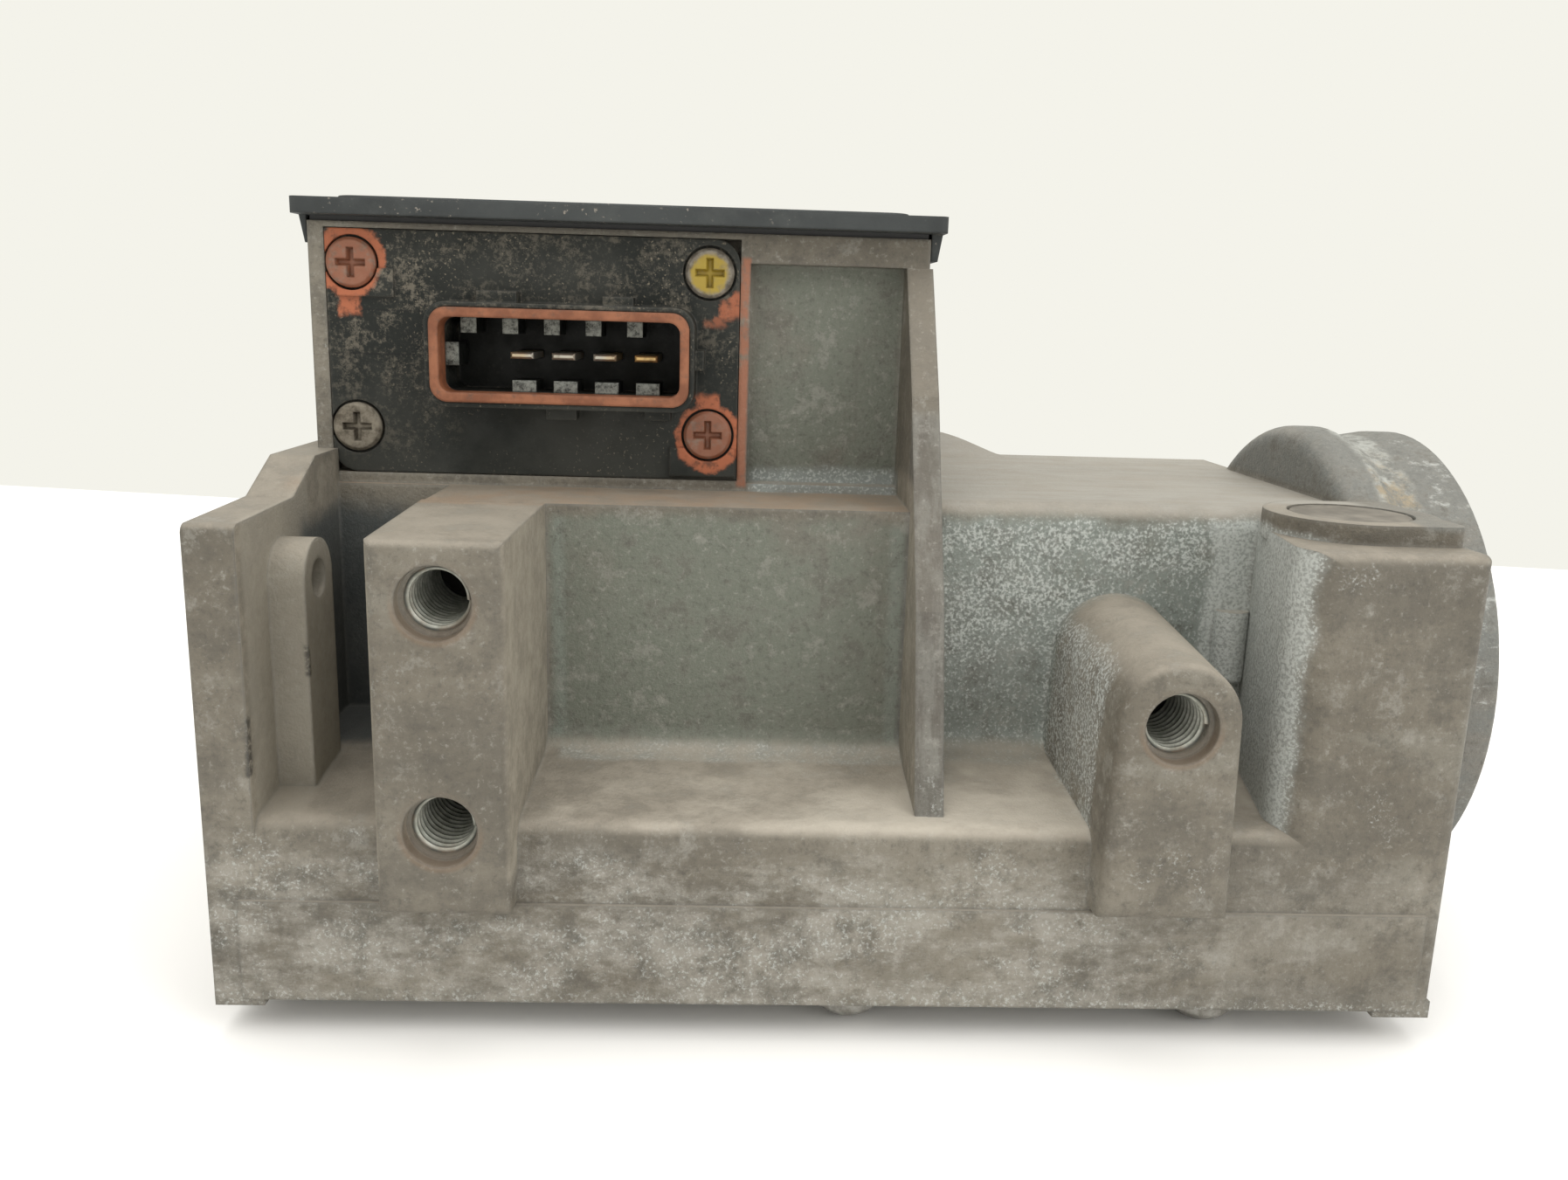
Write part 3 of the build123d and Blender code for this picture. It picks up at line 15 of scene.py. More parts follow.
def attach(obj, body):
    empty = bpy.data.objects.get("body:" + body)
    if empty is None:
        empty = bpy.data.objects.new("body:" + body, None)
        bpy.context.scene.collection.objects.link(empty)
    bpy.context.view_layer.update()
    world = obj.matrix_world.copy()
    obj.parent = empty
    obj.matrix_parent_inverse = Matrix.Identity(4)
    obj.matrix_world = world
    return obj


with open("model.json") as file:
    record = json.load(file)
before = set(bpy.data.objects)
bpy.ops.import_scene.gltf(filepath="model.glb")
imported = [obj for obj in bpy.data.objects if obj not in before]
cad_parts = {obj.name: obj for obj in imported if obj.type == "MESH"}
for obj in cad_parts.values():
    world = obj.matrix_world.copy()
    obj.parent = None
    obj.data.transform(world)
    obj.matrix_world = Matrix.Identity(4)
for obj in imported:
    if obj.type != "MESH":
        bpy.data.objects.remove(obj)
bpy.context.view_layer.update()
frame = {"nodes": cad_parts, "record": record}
nodes = frame["nodes"]


# --- Shader building ------------------------------------------------------------------------
class Shader:
    """One procedural material. Numbers and sockets mix freely in its calls."""

    def __init__(self, name, roughness=0.6):
        self.material = bpy.data.materials.new(name)
        self.material.use_nodes = True
        self.tree = self.material.node_tree
        self.tree.nodes.clear()
        output = self.node("ShaderNodeOutputMaterial")
        self.bsdf = self.node("ShaderNodeBsdfPrincipled")
        self.bsdf.inputs["Roughness"].default_value = roughness
        self.tree.links.new(self.bsdf.outputs[0], output.inputs["Surface"])
        coordinates = self.node("ShaderNodeTexCoord")
        self.place = coordinates.outputs["Object"]
        split = self.node("ShaderNodeSeparateXYZ")
        self.tree.links.new(self.place, split.inputs[0])
        self.x, self.y, self.z = split.outputs
        facing = self.node("ShaderNodeSeparateXYZ")
        self.tree.links.new(coordinates.outputs["Normal"], facing.inputs[0])
        self.normal_x, _, self.normal_z = facing.outputs

    def node(self, kind):
        return self.tree.nodes.new(kind)

    def put(self, socket, value):
        """Link a socket to another, or set its number or colour."""
        if isinstance(value, bpy.types.NodeSocket):
            self.tree.links.new(value, socket)
        elif socket.type == "RGBA":
            socket.default_value = (*value, 1.0)
        else:
            socket.default_value = value

    def math(self, kind, a, b=0.0, clamp=False):
        n = self.node("ShaderNodeMath")
        n.operation = kind
        n.use_clamp = clamp
        self.put(n.inputs[0], a)
        self.put(n.inputs[1], b)
        return n.outputs[0]

    def add(self, a, b, clamp=False):
        return self.math("ADD", a, b, clamp)

    def times(self, *values):
        result = values[0]
        for value in values[1:]:
            result = self.math("MULTIPLY", result, value)
        return result

    def most(self, *values):
        result = values[0]
        for value in values[1:]:
            result = self.math("MAXIMUM", result, value)
        return result

    def step(self, value, low, high):
        """Smooth step from 0 at low to 1 at high, also falling when low is above high."""
        n = self.node("ShaderNodeMapRange")
        n.interpolation_type = "SMOOTHSTEP"
        n.clamp = True
        self.put(n.inputs["Value"], value)
        rising = low <= high
        n.inputs["From Min"].default_value = min(low, high)
        n.inputs["From Max"].default_value = max(low, high)
        n.inputs["To Min"].default_value = 0.0 if rising else 1.0
        n.inputs["To Max"].default_value = 1.0 if rising else 0.0
        return n.outputs["Result"]

    def noise(self, size, detail=4.0, rough=0.55, offset=(0, 0, 0), stretch=(1, 1, 1)):
        """Noise from 0 to 1 with features about size metres across, moved and stretched."""
        n = self.node("ShaderNodeTexNoise")
        n.inputs["Scale"].default_value = 1.0 / size
        n.inputs["Detail"].default_value = detail
        n.inputs["Roughness"].default_value = rough
        shift = self.node("ShaderNodeMapping")
        self.tree.links.new(self.place, shift.inputs["Vector"])
        shift.inputs["Location"].default_value = offset
        shift.inputs["Scale"].default_value = stretch
        self.tree.links.new(shift.outputs[0], n.inputs["Vector"])
        return n.outputs["Fac"]

    def band(self, axis, low, high, soft):
        """1 from low to high, fading over soft on either side of both."""
        return self.times(
            self.step(axis, low - soft, low + soft), self.step(axis, high + soft, high - soft)
        )

    def region(self, box, soft=0.002, ragged=0.0):
        """1 inside a box of X, Y and Z spans, fading over soft, with an edge ragged by so much.

        A span of None doesn't bound the box.
        """
        jitter = None
        if ragged:
            jitter = self.times(self.add(self.noise(0.006, 5, 0.6, (3, 1, 7)), -0.5), ragged * 2)
        result = None
        for axis, span in zip((self.x, self.y, self.z), box):
            if span is None:
                continue
            where = axis if jitter is None else self.add(axis, jitter)
            edge = self.band(where, *span, soft)
            result = edge if result is None else self.times(result, edge)
        return result

    def distance(self, x, z):
        """Distance from a line along Y through (x, z)."""
        dx = self.math("SUBTRACT", self.x, x)
        dz = self.math("SUBTRACT", self.z, z)
        return self.math("SQRT", self.add(self.times(dx, dx), self.times(dz, dz)))

    def ring(self, x, z, inner, outer, soft):
        """1 between two circles round a line along Y through (x, z)."""
        return self.band(self.distance(x, z), inner, outer, soft)

    def mix(self, share, a, b):
        """Colour a with so much of colour b over it."""
        n = self.node("ShaderNodeMix")
        n.data_type = "RGBA"
        factor, first, second = n.inputs[0], n.inputs[6], n.inputs[7]
        self.put(factor, share)
        self.put(first, a)
        self.put(second, b)
        return n.outputs[2]

    def number(self, share, a, b):
        """Number between a and b."""
        n = self.node("ShaderNodeMix")
        self.put(n.inputs[0], share)
        self.put(n.inputs[2], a)
        self.put(n.inputs[3], b)
        return n.outputs[0]

    def bump(self, height, depth, strength, under=None):
        """Bump of so many metres, over an earlier normal where one is given."""
        n = self.node("ShaderNodeBump")
        n.inputs["Strength"].default_value = strength
        n.inputs["Distance"].default_value = depth
        self.put(n.inputs["Height"], height)
        if under is not None:
            self.put(n.inputs["Normal"], under)
        return n.outputs[0]

    def soft_edges(self, radius):
        """Normal with every hard edge rounded, as on a casting or moulding."""
        n = self.node("ShaderNodeBevel")
        n.samples = 4
        n.inputs["Radius"].default_value = radius
        return n.outputs[0]

    def edge_mask(self, radius):
        """1 on hard edges."""
        geometry = self.node("ShaderNodeNewGeometry")
        dot = self.node("ShaderNodeVectorMath")
        dot.operation = "DOT_PRODUCT"
        self.tree.links.new(self.soft_edges(radius), dot.inputs[0])
        self.tree.links.new(geometry.outputs["Normal"], dot.inputs[1])
        return self.step(self.math("SUBTRACT", 1.0, dot.outputs["Value"]), 0.02, 0.22)

    def finish(self, color, roughness, normal, metallic=0.0):
        self.put(self.bsdf.inputs["Base Color"], color)
        self.put(self.bsdf.inputs["Roughness"], roughness)
        self.put(self.bsdf.inputs["Metallic"], metallic)
        self.put(self.bsdf.inputs["Normal"], normal)
        return self.material


# --- The casting ----------------------------------------------------------------------------
# Tapped holes of the bracket: centre X, thread length, centre Z and name
TAPPED_HOLES = (
    (-0.0471, 0.0140, 0.0499, "thread_bar_upper"),
    (-0.0471, 0.0125, 0.0259, "thread_bar_lower"),
    (0.0284, 0.0110, 0.0384, "thread_boss"),
)

# Places with a look of their own: spans along X, Y and Z, with None where nothing bounds them
FRONT_WALL = ((-0.0392, 0.0030), (-0.0275, -0.0245), (0.0268, 0.0552))
PLUG_PANEL = ((-0.0162, 0.0026), (-0.0100, -0.0075), (0.0580, 0.0850))
SIDE_WALL = ((0.0055, 0.0445), (-0.0255, -0.0225), (0.0262, 0.0560))
BAR_CORNER = ((-0.0398, -0.0376), (-0.0330, -0.0245), (0.0250, 0.0552))
FIN_CORNER = ((0.0006, 0.0030), (-0.0330, -0.0245), (0.0268, 0.0552))
BOSS_CORNER = ((0.0195, 0.0225), (-0.0300, -0.0230), (0.0250, 0.0420))
SPIGOT = ((0.0616, 0.0800), None, None)
COLLAR = ((0.0562, 0.0640), None, (0.0580, 0.0700))
SPIGOT_VALLEY = ((0.0615, 0.0668), None, (0.0420, 0.0700))
SPIGOT_BEAD = ((0.0680, 0.0740), None, (0.0350, 0.0700))
FIN = ((0.0022, 0.0062), (-0.0430, -0.0235), (0.0230, 0.0700))
SIDE_WALL_TOP = ((0.0070, 0.0445), (-0.0262, -0.0222), (0.0505, 0.0548))
TOWER_FLANK = ((0.0385, 0.0470), (-0.0440, -0.0222), (0.0235, 0.0565))
TOWER_CORNER = ((0.0392, 0.0452), (-0.0270, -0.0222), (0.0235, 0.0560))
FRONT_WALL_FOOT = ((-0.0380, 0.0030), (-0.0300, -0.0256), (0.0238, 0.0276))
PLUG_PANEL_FOOT = ((-0.0160, 0.0026), (-0.0125, -0.0075), (0.0562, 0.0590))
SIDE_WALL_FOOT = ((0.0055, 0.0200), (-0.0290, -0.0235), (0.0238, 0.0270))
BOSS_FLANK = ((0.0205, 0.0238), (-0.0440, -0.0230), (0.0230, 0.0440))
RAIL_FRONT = ((-0.074, 0.064), (-0.0480, -0.0430), (0.0020, 0.0215))
BRACKET_FLANKS = ((-0.0700, 0.0120), (-0.0495, -0.0130), (0.0200, 0.0600))
POST = ((-0.0683, -0.0632), (-0.0440, -0.0240), (0.0200, 0.0600))
LEDGE_UNDER_PLUG = ((-0.0700, 0.0030), (-0.0275, -0.0110), (0.0550, 0.0580))
RAIL_TOP = ((-0.0400, 0.0420), (-0.0460, -0.0285), (0.0230, 0.0262))
ROOF = ((0.0060, 0.0575), (-0.0250, 0.0340), (0.0560, 0.0680))
POCKET = ((-0.0720, -0.0590), (-0.0270, -0.0100), (0.0180, 0.0535))
POST_SLIT = ((-0.0641, -0.0635), (-0.0381, -0.0371), (0.0385, 0.0420))
FLANGE_SLIT = ((-0.0681, -0.0675), (-0.0459, -0.0447), (0.0298, 0.0360))
PAINT_RUN = ((-0.01790, -0.01665), (-0.0128, -0.0105), (0.0570, 0.0850))

PALE_GRIT = (0.300, 0.290, 0.255)


class Casting(Shader):
    """Old die casting: brown-grey gritty skin, greenish panels, white bloom, dust where it can lie.

    Each method lays one kind of weathering, or of painted light and shade, over the colour so far, in the
    order of the calls in make.
    """

    def __init__(self):
        super().__init__("weathered_casting")
        self.broad = self.noise(0.034, 7, 0.62, (1.3, 0.4, 2.2))
        self.patch = self.noise(0.018, 7, 0.66, (6.1, 3.4, 0.2), (0.6, 1.0, 1.6))
        self.middle = self.noise(0.0050, 10, 0.78, (4.0, 2.0, 0.5))
        self.fine = self.noise(0.00075, 5, 0.72, (7.0, 1.0, 3.0))
        self.grains = self.noise(0.00038, 3, 0.65, (0.2, 0.9, 0.4))

    def lay(self, share, color):
        """Lay so much of a colour over what is there."""
        self.color = self.mix(share, self.color, color)

    def bare_skin(self):
        self.color = self.mix(self.step(self.broad, 0.36, 0.64), (0.130, 0.114, 0.087), (0.194, 0.174, 0.137))
        self.lay(self.times(self.step(self.patch, 0.46, 0.60), 0.55), (0.098, 0.088, 0.070))
        self.lay(self.times(self.step(self.patch, 0.46, 0.34), 0.45), (0.228, 0.216, 0.178))

    def green_walls(self):
        """Greenish matt panels: front wall of the duct, sunken panel by the plug, wall by the spigot, made
        paler in their corners as painted light.
        """
        front_wall = self.region(FRONT_WALL, 0.0010, 0.0012)
        plug_panel = self.region(PLUG_PANEL, 0.0010, 0.0010)
        self.side_wall = self.region(SIDE_WALL, 0.0016, 0.002)
        walls = self.most(front_wall, plug_panel, self.side_wall)
        green = self.mix(self.step(self.middle, 0.42, 0.60), (0.128, 0.140, 0.110), (0.178, 0.190, 0.155))
        brown = self.step(self.broad, 0.50, 0.62)
        high = self.step(self.z, 0.036, 0.048)
        brown = self.times(brown, self.add(0.45, self.times(high, 0.35)))
        green = self.mix(brown, green, (0.150, 0.134, 0.110))
        # Pale green in the corners by the bar, the fin and the boss is painted light, lifting the shade that
        # falls in these concave corners.
        corners = self.most(
            self.region(BAR_CORNER, 0.0005, 0.0006),
            self.region(FIN_CORNER, 0.0006, 0.0008),
            self.region(BOSS_CORNER, 0.0006, 0.0010),
        )
        green = self.mix(self.times(corners, 0.55), green, (0.225, 0.258, 0.222))
        green = self.mix(self.times(self.side_wall, 0.62), green, (0.262, 0.298, 0.278))
        self.lay(self.times(walls, 0.94), green)

    def smooth_spigot(self):
        """Spigot and collar: smoother, colder grey."""
        self.spigot = self.most(self.region(SPIGOT), self.region(COLLAR, 0.0008))
        grey = self.mix(self.step(self.middle, 0.40, 0.62), (0.128, 0.135, 0.126), (0.232, 0.235, 0.214))
        grey = self.mix(self.times(self.step(self.patch, 0.50, 0.62), 0.5), grey, (0.205, 0.180, 0.148))
        self.lay(self.times(self.spigot, 0.92), grey)

    def streaks(self):
        """Fin and bracket flanks: dark streaks that run down."""
        streaks = self.noise(0.0016, 5, 0.65, (2, 2, 9), (1.0, 0.5, 0.10))
        fin = self.times(self.region(FIN, 0.0005), 0.75)
        self.lay(fin, self.mix(self.step(streaks, 0.40, 0.62), (0.155, 0.152, 0.135), (0.080, 0.072, 0.062)))
        self.lay(self.times(self.step(streaks, 0.58, 0.70), 0.30), (0.100, 0.090, 0.075))

    def grit(self):
        """Dark pores and pale grains in the skin."""
        self.lay(self.times(self.step(self.middle, 0.50, 0.62), 0.55), (0.092, 0.084, 0.069))
        self.lay(self.times(self.step(self.middle, 0.47, 0.36), 0.42), PALE_GRIT)
        self.lay(self.times(self.step(self.fine, 0.53, 0.68), 0.42), (0.066, 0.061, 0.050))
        self.lay(self.times(self.step(self.fine, 0.44, 0.30), 0.42), (0.340, 0.330, 0.292))

    def side_wall_bloom(self):
        """Where bloom lies on the side wall: a slanting swirl and a band under the roof."""
        slant = self.add(self.times(self.x, 0.58), self.times(self.z, -0.81))
        swirl = self.times(
            self.side_wall, self.step(slant, -0.0375, -0.0300), self.step(slant, -0.0125, -0.0185)
        )
        swirl = self.times(swirl, self.step(self.z, 0.0300, 0.0420), self.step(self.patch, 0.62, 0.44))
        top_band = self.times(
            self.region(SIDE_WALL_TOP, 0.0014, 0.0030),
            self.step(self.noise(0.008, 5, 0.65, (3, 9, 2)), 0.36, 0.52),
        )
        return swirl, top_band

    def bloom(self):
        """White bloom: sandy grains, thick round the tower's corner, over the side wall and on the rail.
        Round the tower's corner the pale colour is also painted light, lifting the shade that falls there.
        """
        swirl, top_band = self.side_wall_bloom()
        tower_flank = self.times(
            self.region(TOWER_FLANK, 0.0008, 0.0014), self.step(self.normal_x, -0.30, -0.60)
        )
        corner = self.most(self.region(TOWER_CORNER, 0.0008, 0.0016), tower_flank)
        foot_strips = self.most(
            self.region(FRONT_WALL_FOOT, 0.0007, 0.0010),
            self.region(PLUG_PANEL_FOOT, 0.0008, 0.0010),
            self.region(SIDE_WALL_FOOT, 0.0010, 0.0015),
        )
        boss_flank = self.region(BOSS_FLANK, 0.0010, 0.0025)
        chalk = self.noise(0.0095, 9, 0.74, (2.2, 0.7, 5.1), (0.6, 1.0, 1.4))
        rail = self.times(
            self.region(RAIL_FRONT, 0.002, 0.004),
            self.step(chalk, 0.60, 0.44),
            self.number(self.step(self.x, 0.0280, 0.0400), 1.0, 0.35),
        )
        base_line = self.times(
            self.band(self.z, 0.0030, 0.0058, 0.0012), self.step(self.y, -0.0430, -0.0445)
        )
        sandy_wall = self.most(swirl, top_band)
        thick = self.most(corner, self.times(sandy_wall, 0.72), self.times(self.most(rail, base_line), 0.22))
        thick = self.most(thick, self.times(foot_strips, 0.45), self.times(boss_flank, 0.75))
        scattered = self.times(self.step(self.noise(0.011, 6, 0.7, (2, 8, 5)), 0.56, 0.70), 0.22)
        amount = self.most(thick, scattered, self.times(self.side_wall, 0.25))
        crowded = self.add(self.grains, self.times(amount, 0.12))
        self.white_grains = self.times(self.step(crowded, 0.54, 0.70), self.step(amount, 0.0, 0.35))
        gaps = self.times(self.step(self.grains, 0.48, 0.38), self.most(corner, self.times(sandy_wall, 0.7)))
        haze = self.times(thick, self.step(self.noise(0.0035, 8, 0.75, (5, 5, 1)), 0.34, 0.58))
        self.lay(self.times(haze, 0.60), (0.290, 0.305, 0.282))
        self.lay(self.times(rail, self.step(self.middle, 0.64, 0.42), 0.52), (0.350, 0.328, 0.284))
        self.lay(self.times(foot_strips, 0.75), (0.262, 0.290, 0.275))
        self.lay(self.times(gaps, 0.55), (0.075, 0.080, 0.070))
        # Pale colour round the tower's corner: real bloom, laid paler still as painted light against the
        # corner's shade.
        self.lay(self.times(corner, 0.50), (0.480, 0.500, 0.470))
        self.lay(self.times(self.white_grains, 0.72), (0.520, 0.540, 0.510))

    def spigot_crust(self):
        """White and yellow crust in the valley behind the spigot's bead, scratches on the bead."""
        valley = self.region(SPIGOT_VALLEY, 0.0006, 0.0012)
        crust = self.times(valley, self.step(self.noise(0.0024, 8, 0.78, (1, 6, 3)), 0.40, 0.62))
        yellow = self.times(
            self.step(self.noise(0.004, 6, 0.7, (8, 1, 1)), 0.46, 0.60), self.step(self.z, 0.0640, 0.0600)
        )
        crust_color = self.mix(self.times(yellow, 0.8), (0.43, 0.44, 0.405), (0.32, 0.235, 0.12))
        self.lay(self.times(crust, 0.85), crust_color)
        bead = self.region(SPIGOT_BEAD, 0.0008, 0.0010)
        scratches = self.noise(0.0020, 6, 0.75, (3, 3, 8), (0.5, 0.35, 1.2))
        self.lay(self.times(bead, self.step(scratches, 0.54, 0.66), 0.65), (0.50, 0.51, 0.48))
        self.lay(self.times(bead, self.step(scratches, 0.42, 0.30), 0.55), (0.090, 0.090, 0.080))

    def tan_dust_and_side_light(self):
        """Tan dust and painted side light on the flanks of the bar, the flange and the post inside it."""
        # Faces turned sideways get pale tan: partly real dust, partly painted light standing in for light
        # from the sides.
        sideways = self.step(self.math("ABSOLUTE", self.normal_x), 0.55, 0.90)
        flank = self.times(sideways, self.region(BRACKET_FLANKS, 0.001, 0.001))
        spread = self.add(0.40, self.times(self.step(self.middle, 0.58, 0.40), 0.35))
        self.lay(self.times(flank, spread), (0.335, 0.300, 0.238))
        # The post is laid pale all over: tan dust, and painted light that lifts the shade in its concave
        # place.
        self.lay(self.times(self.region(POST, 0.0006, 0.0006), 0.55), (0.330, 0.305, 0.250))

    def dust(self):
        """Brown dust on what faces up, rust-brown on the ledge under the plug plate."""
        up = self.step(self.normal_z, 0.35, 0.90)
        spread = self.add(0.35, self.times(self.step(self.middle, 0.36, 0.62), 0.45))
        self.lay(self.times(up, self.number(self.spigot, spread, 0.10)), (0.335, 0.298, 0.240))
        ledge = self.times(up, self.region(LEDGE_UNDER_PLUG, 0.001, 0.002))
        patches = self.step(self.noise(0.007, 6, 0.65, (6, 2, 4)), 0.40, 0.60)
        self.lay(self.times(ledge, self.add(0.25, self.times(patches, 0.55))), (0.300, 0.225, 0.158))
        rail = self.times(up, self.region(RAIL_TOP, 0.001, 0.002))
        self.lay(self.times(rail, self.step(self.patch, 0.62, 0.40), 0.70), (0.500, 0.455, 0.380))
        roof = self.times(up, self.region(ROOF, 0.002, 0.003))
        brushed = self.step(self.noise(0.0040, 5, 0.6, (1, 4, 1), (0.25, 1.4, 1.0)), 0.36, 0.62)
        self.lay(self.times(roof, self.add(0.50, self.times(brushed, 0.35))), (0.335, 0.318, 0.278))

    def pocket_shade_and_slits(self):
        """Painted shade, dark and bluish, in the pocket behind the bar, and two dark casting slits in the
        post and flange.
        """
        # Painted shade: the deep pocket is coloured dark blue-grey where shade falls in it.
        self.lay(self.times(self.region(POCKET, 0.0020, 0.002), 0.80), (0.052, 0.064, 0.068))
        slits = self.most(self.region(POST_SLIT, 0.0003, 0.0007), self.region(FLANGE_SLIT, 0.0003, 0.0007))
        self.lay(self.times(slits, self.step(self.fine, 0.36, 0.52), 0.80), (0.020, 0.018, 0.015))

    def hole_mouths(self):
        """Rust low in the mouths of the tapped holes, painted shade deep in them."""
        for hole_x, _, hole_z, _ in TAPPED_HOLES:
            mouth = self.times(
                self.ring(hole_x, hole_z, 0.0031, 0.0044, 0.0003), self.step(self.y, -0.0475, -0.0487)
            )
            below = self.step(self.z, hole_z + 0.0015, hole_z - 0.0020)
            self.lay(self.times(mouth, self.add(0.10, self.times(below, 0.45))), (0.175, 0.118, 0.075))
            # Painted shade: near black deep in each hole, past the thread.
            deep = self.times(
                self.ring(hole_x, hole_z, -0.001, 0.0042, 0.0002), self.band(self.y, -0.0388, -0.0300, 0.0006)
            )
            self.lay(self.times(deep, 0.92), (0.008, 0.008, 0.007))

    def worn_edges(self):
        self.lay(self.times(self.edge_mask(0.0008), self.step(self.middle, 0.36, 0.58), 0.35), PALE_GRIT)

    def paint_run(self):
        """Orange marking paint run down beside the plug plate."""
        run = self.region(PAINT_RUN, 0.0003, 0.0006)
        thin = self.step(self.noise(0.004, 5, 0.6, (2, 2, 2)), 0.30, 0.45)
        self.lay(self.times(run, thin, 0.9), (0.30, 0.120, 0.066))

    def make(self):
        self.bare_skin()
        self.green_walls()
        self.smooth_spigot()
        self.streaks()
        self.grit()
        self.bloom()
        self.spigot_crust()
        self.tan_dust_and_side_light()
        self.dust()
        self.pocket_shade_and_slits()
        self.hole_mouths()
        self.worn_edges()
        self.paint_run()
        height = self.add(self.times(self.fine, 0.5), self.middle)
        height = self.add(height, self.times(self.grains, 0.65))
        normal = self.bump(height, 0.00028, 0.6, self.soft_edges(0.0007))
        rough = self.number(self.step(self.middle, 0.3, 0.7), 0.54, 0.74)
        rough = self.add(rough, self.times(self.white_grains, 0.15), True)
        return self.finish(self.color, rough, normal, 0.12)


# --- The other materials --------------------------------------------------------------------
SOOT = (0.008, 0.008, 0.008)
PLATE_LEFT = ((-0.069, -0.053), None, (0.0600, 0.0880))
MOULD_LINES_Z = (0.07765, 0.07235)
MOULD_LINES_X = (-0.0677, -0.0560)
# Centres X and Z of the round moulding marks on the plug plate
MOULD_MARKS = ((-0.0661, 0.0680), (-0.0192, 0.0710))
SOCKET_X = (-0.0536, -0.0250)
SOCKET_Z = (0.06835, 0.07705)
# Marking paint on the plug plate: centre X and Z, how far it ran down or up, radius, strength
PAINT_SPOTS = (
    (-0.0653, 0.0834, -0.0064, 0.0043, 1.0),
    (-0.0214, 0.0630, 0.0054, 0.0042, 1.0),
    (-0.0185, 0.0800, -0.0022, 0.0010, 0.8),
    (-0.0206, 0.0775, -0.0006, 0.0008, 0.6),
)
UPPER_LEFT_SCREW = ((-0.0690, -0.0600), None, (0.0780, 0.0880))
LOWER_RIGHT_SCREW = ((-0.0250, -0.0180), None, (0.0590, 0.0680))
UPPER_RIGHT_SCREW = ((-0.0250, -0.0180), None, (0.0780, 0.0880))
YELLOW_DAB_AT = (-0.0216, 0.0831)


def lid_plastic():
    """Old black moulding with dust in its grain and pale specks."""
    tone, dust_color = (0.028, 0.031, 0.031), (0.072, 0.077, 0.073)
    s = Shader("lid_plastic")
    broad = s.noise(0.022, 6, 0.6, (2.0, 5.0, 1.0))
    middle = s.noise(0.0045, 7, 0.7, (1.0, 3.0, 6.0))
    specks = s.step(s.noise(0.0006, 3, 0.6, (3, 7, 1)), 0.62, 0.70)
    specks = s.times(specks, s.step(s.noise(0.009, 4, 0.6, (7, 7, 7)), 0.45, 0.6))
    color = s.mix(s.step(broad, 0.35, 0.65), tone, [c * 1.7 for c in tone])
    color = s.mix(s.times(s.step(middle, 0.46, 0.70), 0.45), color, dust_color)
    up = s.step(s.normal_z, 0.4, 0.9)
    color = s.mix(s.times(up, 0.6, s.step(middle, 0.3, 0.6)), color, dust_color)
    color = s.mix(s.times(specks, 0.6), color, (0.34, 0.30, 0.25))
    color = s.mix(s.times(s.edge_mask(0.0004), 0.30), color, dust_color)
    s.bsdf.inputs["Specular IOR Level"].default_value = 0.25
    height = s.add(s.noise(0.0008, 4, 0.6), s.times(middle, 0.5))
    normal = s.bump(height, 0.00010, 0.5, s.soft_edges(0.0004))
    rough = s.number(s.step(middle, 0.35, 0.65), 0.42, 0.68)
    return s.finish(color, rough, normal)


def moulding_marks(s, color):
    """Two drawn lines and two round marks on the plug plate's face."""
    lines = s.most(
        *(
            s.times(s.band(s.z, z - 0.0001, z + 0.0001, 0.00008), s.band(s.x, *MOULD_LINES_X, 0.0005))
            for z in MOULD_LINES_Z
        )
    )
    color = s.mix(s.times(lines, 0.5), color, (0.010, 0.010, 0.010))
    marks = s.most(*(s.ring(x, z, 0.00095, 0.00120, 0.00008) for x, z in MOULD_MARKS))
    return s.mix(s.times(marks, s.step(s.y, -0.0140, -0.0146), 0.7), color, SOOT)


def marking_paint(s):
    """Where orange paint lies on the plug plate: round two screws, with runs and two drops."""
    paint = None
    ragged = s.times(s.add(s.noise(0.0022, 6, 0.7, (4, 4, 4)), -0.5), 0.0026)
    for x, z, drop, radius, strength in PAINT_SPOTS:
        ring = s.step(s.add(s.distance(x, z), ragged), radius + 0.0003, radius - 0.0003)
        run = s.times(
            s.band(s.add(s.x, ragged), x - 0.0016, x + 0.0012, 0.0003),
            s.band(s.add(s.z, ragged), z + min(drop, 0), z + max(drop, 0), 0.0005),
        )
        spot = s.times(s.most(ring, run), strength)
        paint = spot if paint is None else s.most(paint, spot)
    thin = s.step(s.noise(0.0012, 5, 0.7, (1, 9, 9)), 0.30, 0.52)
    on_front = s.step(s.y, -0.0112, -0.0116)
    return s.times(paint, s.add(0.35, s.times(thin, 0.65)), on_front)


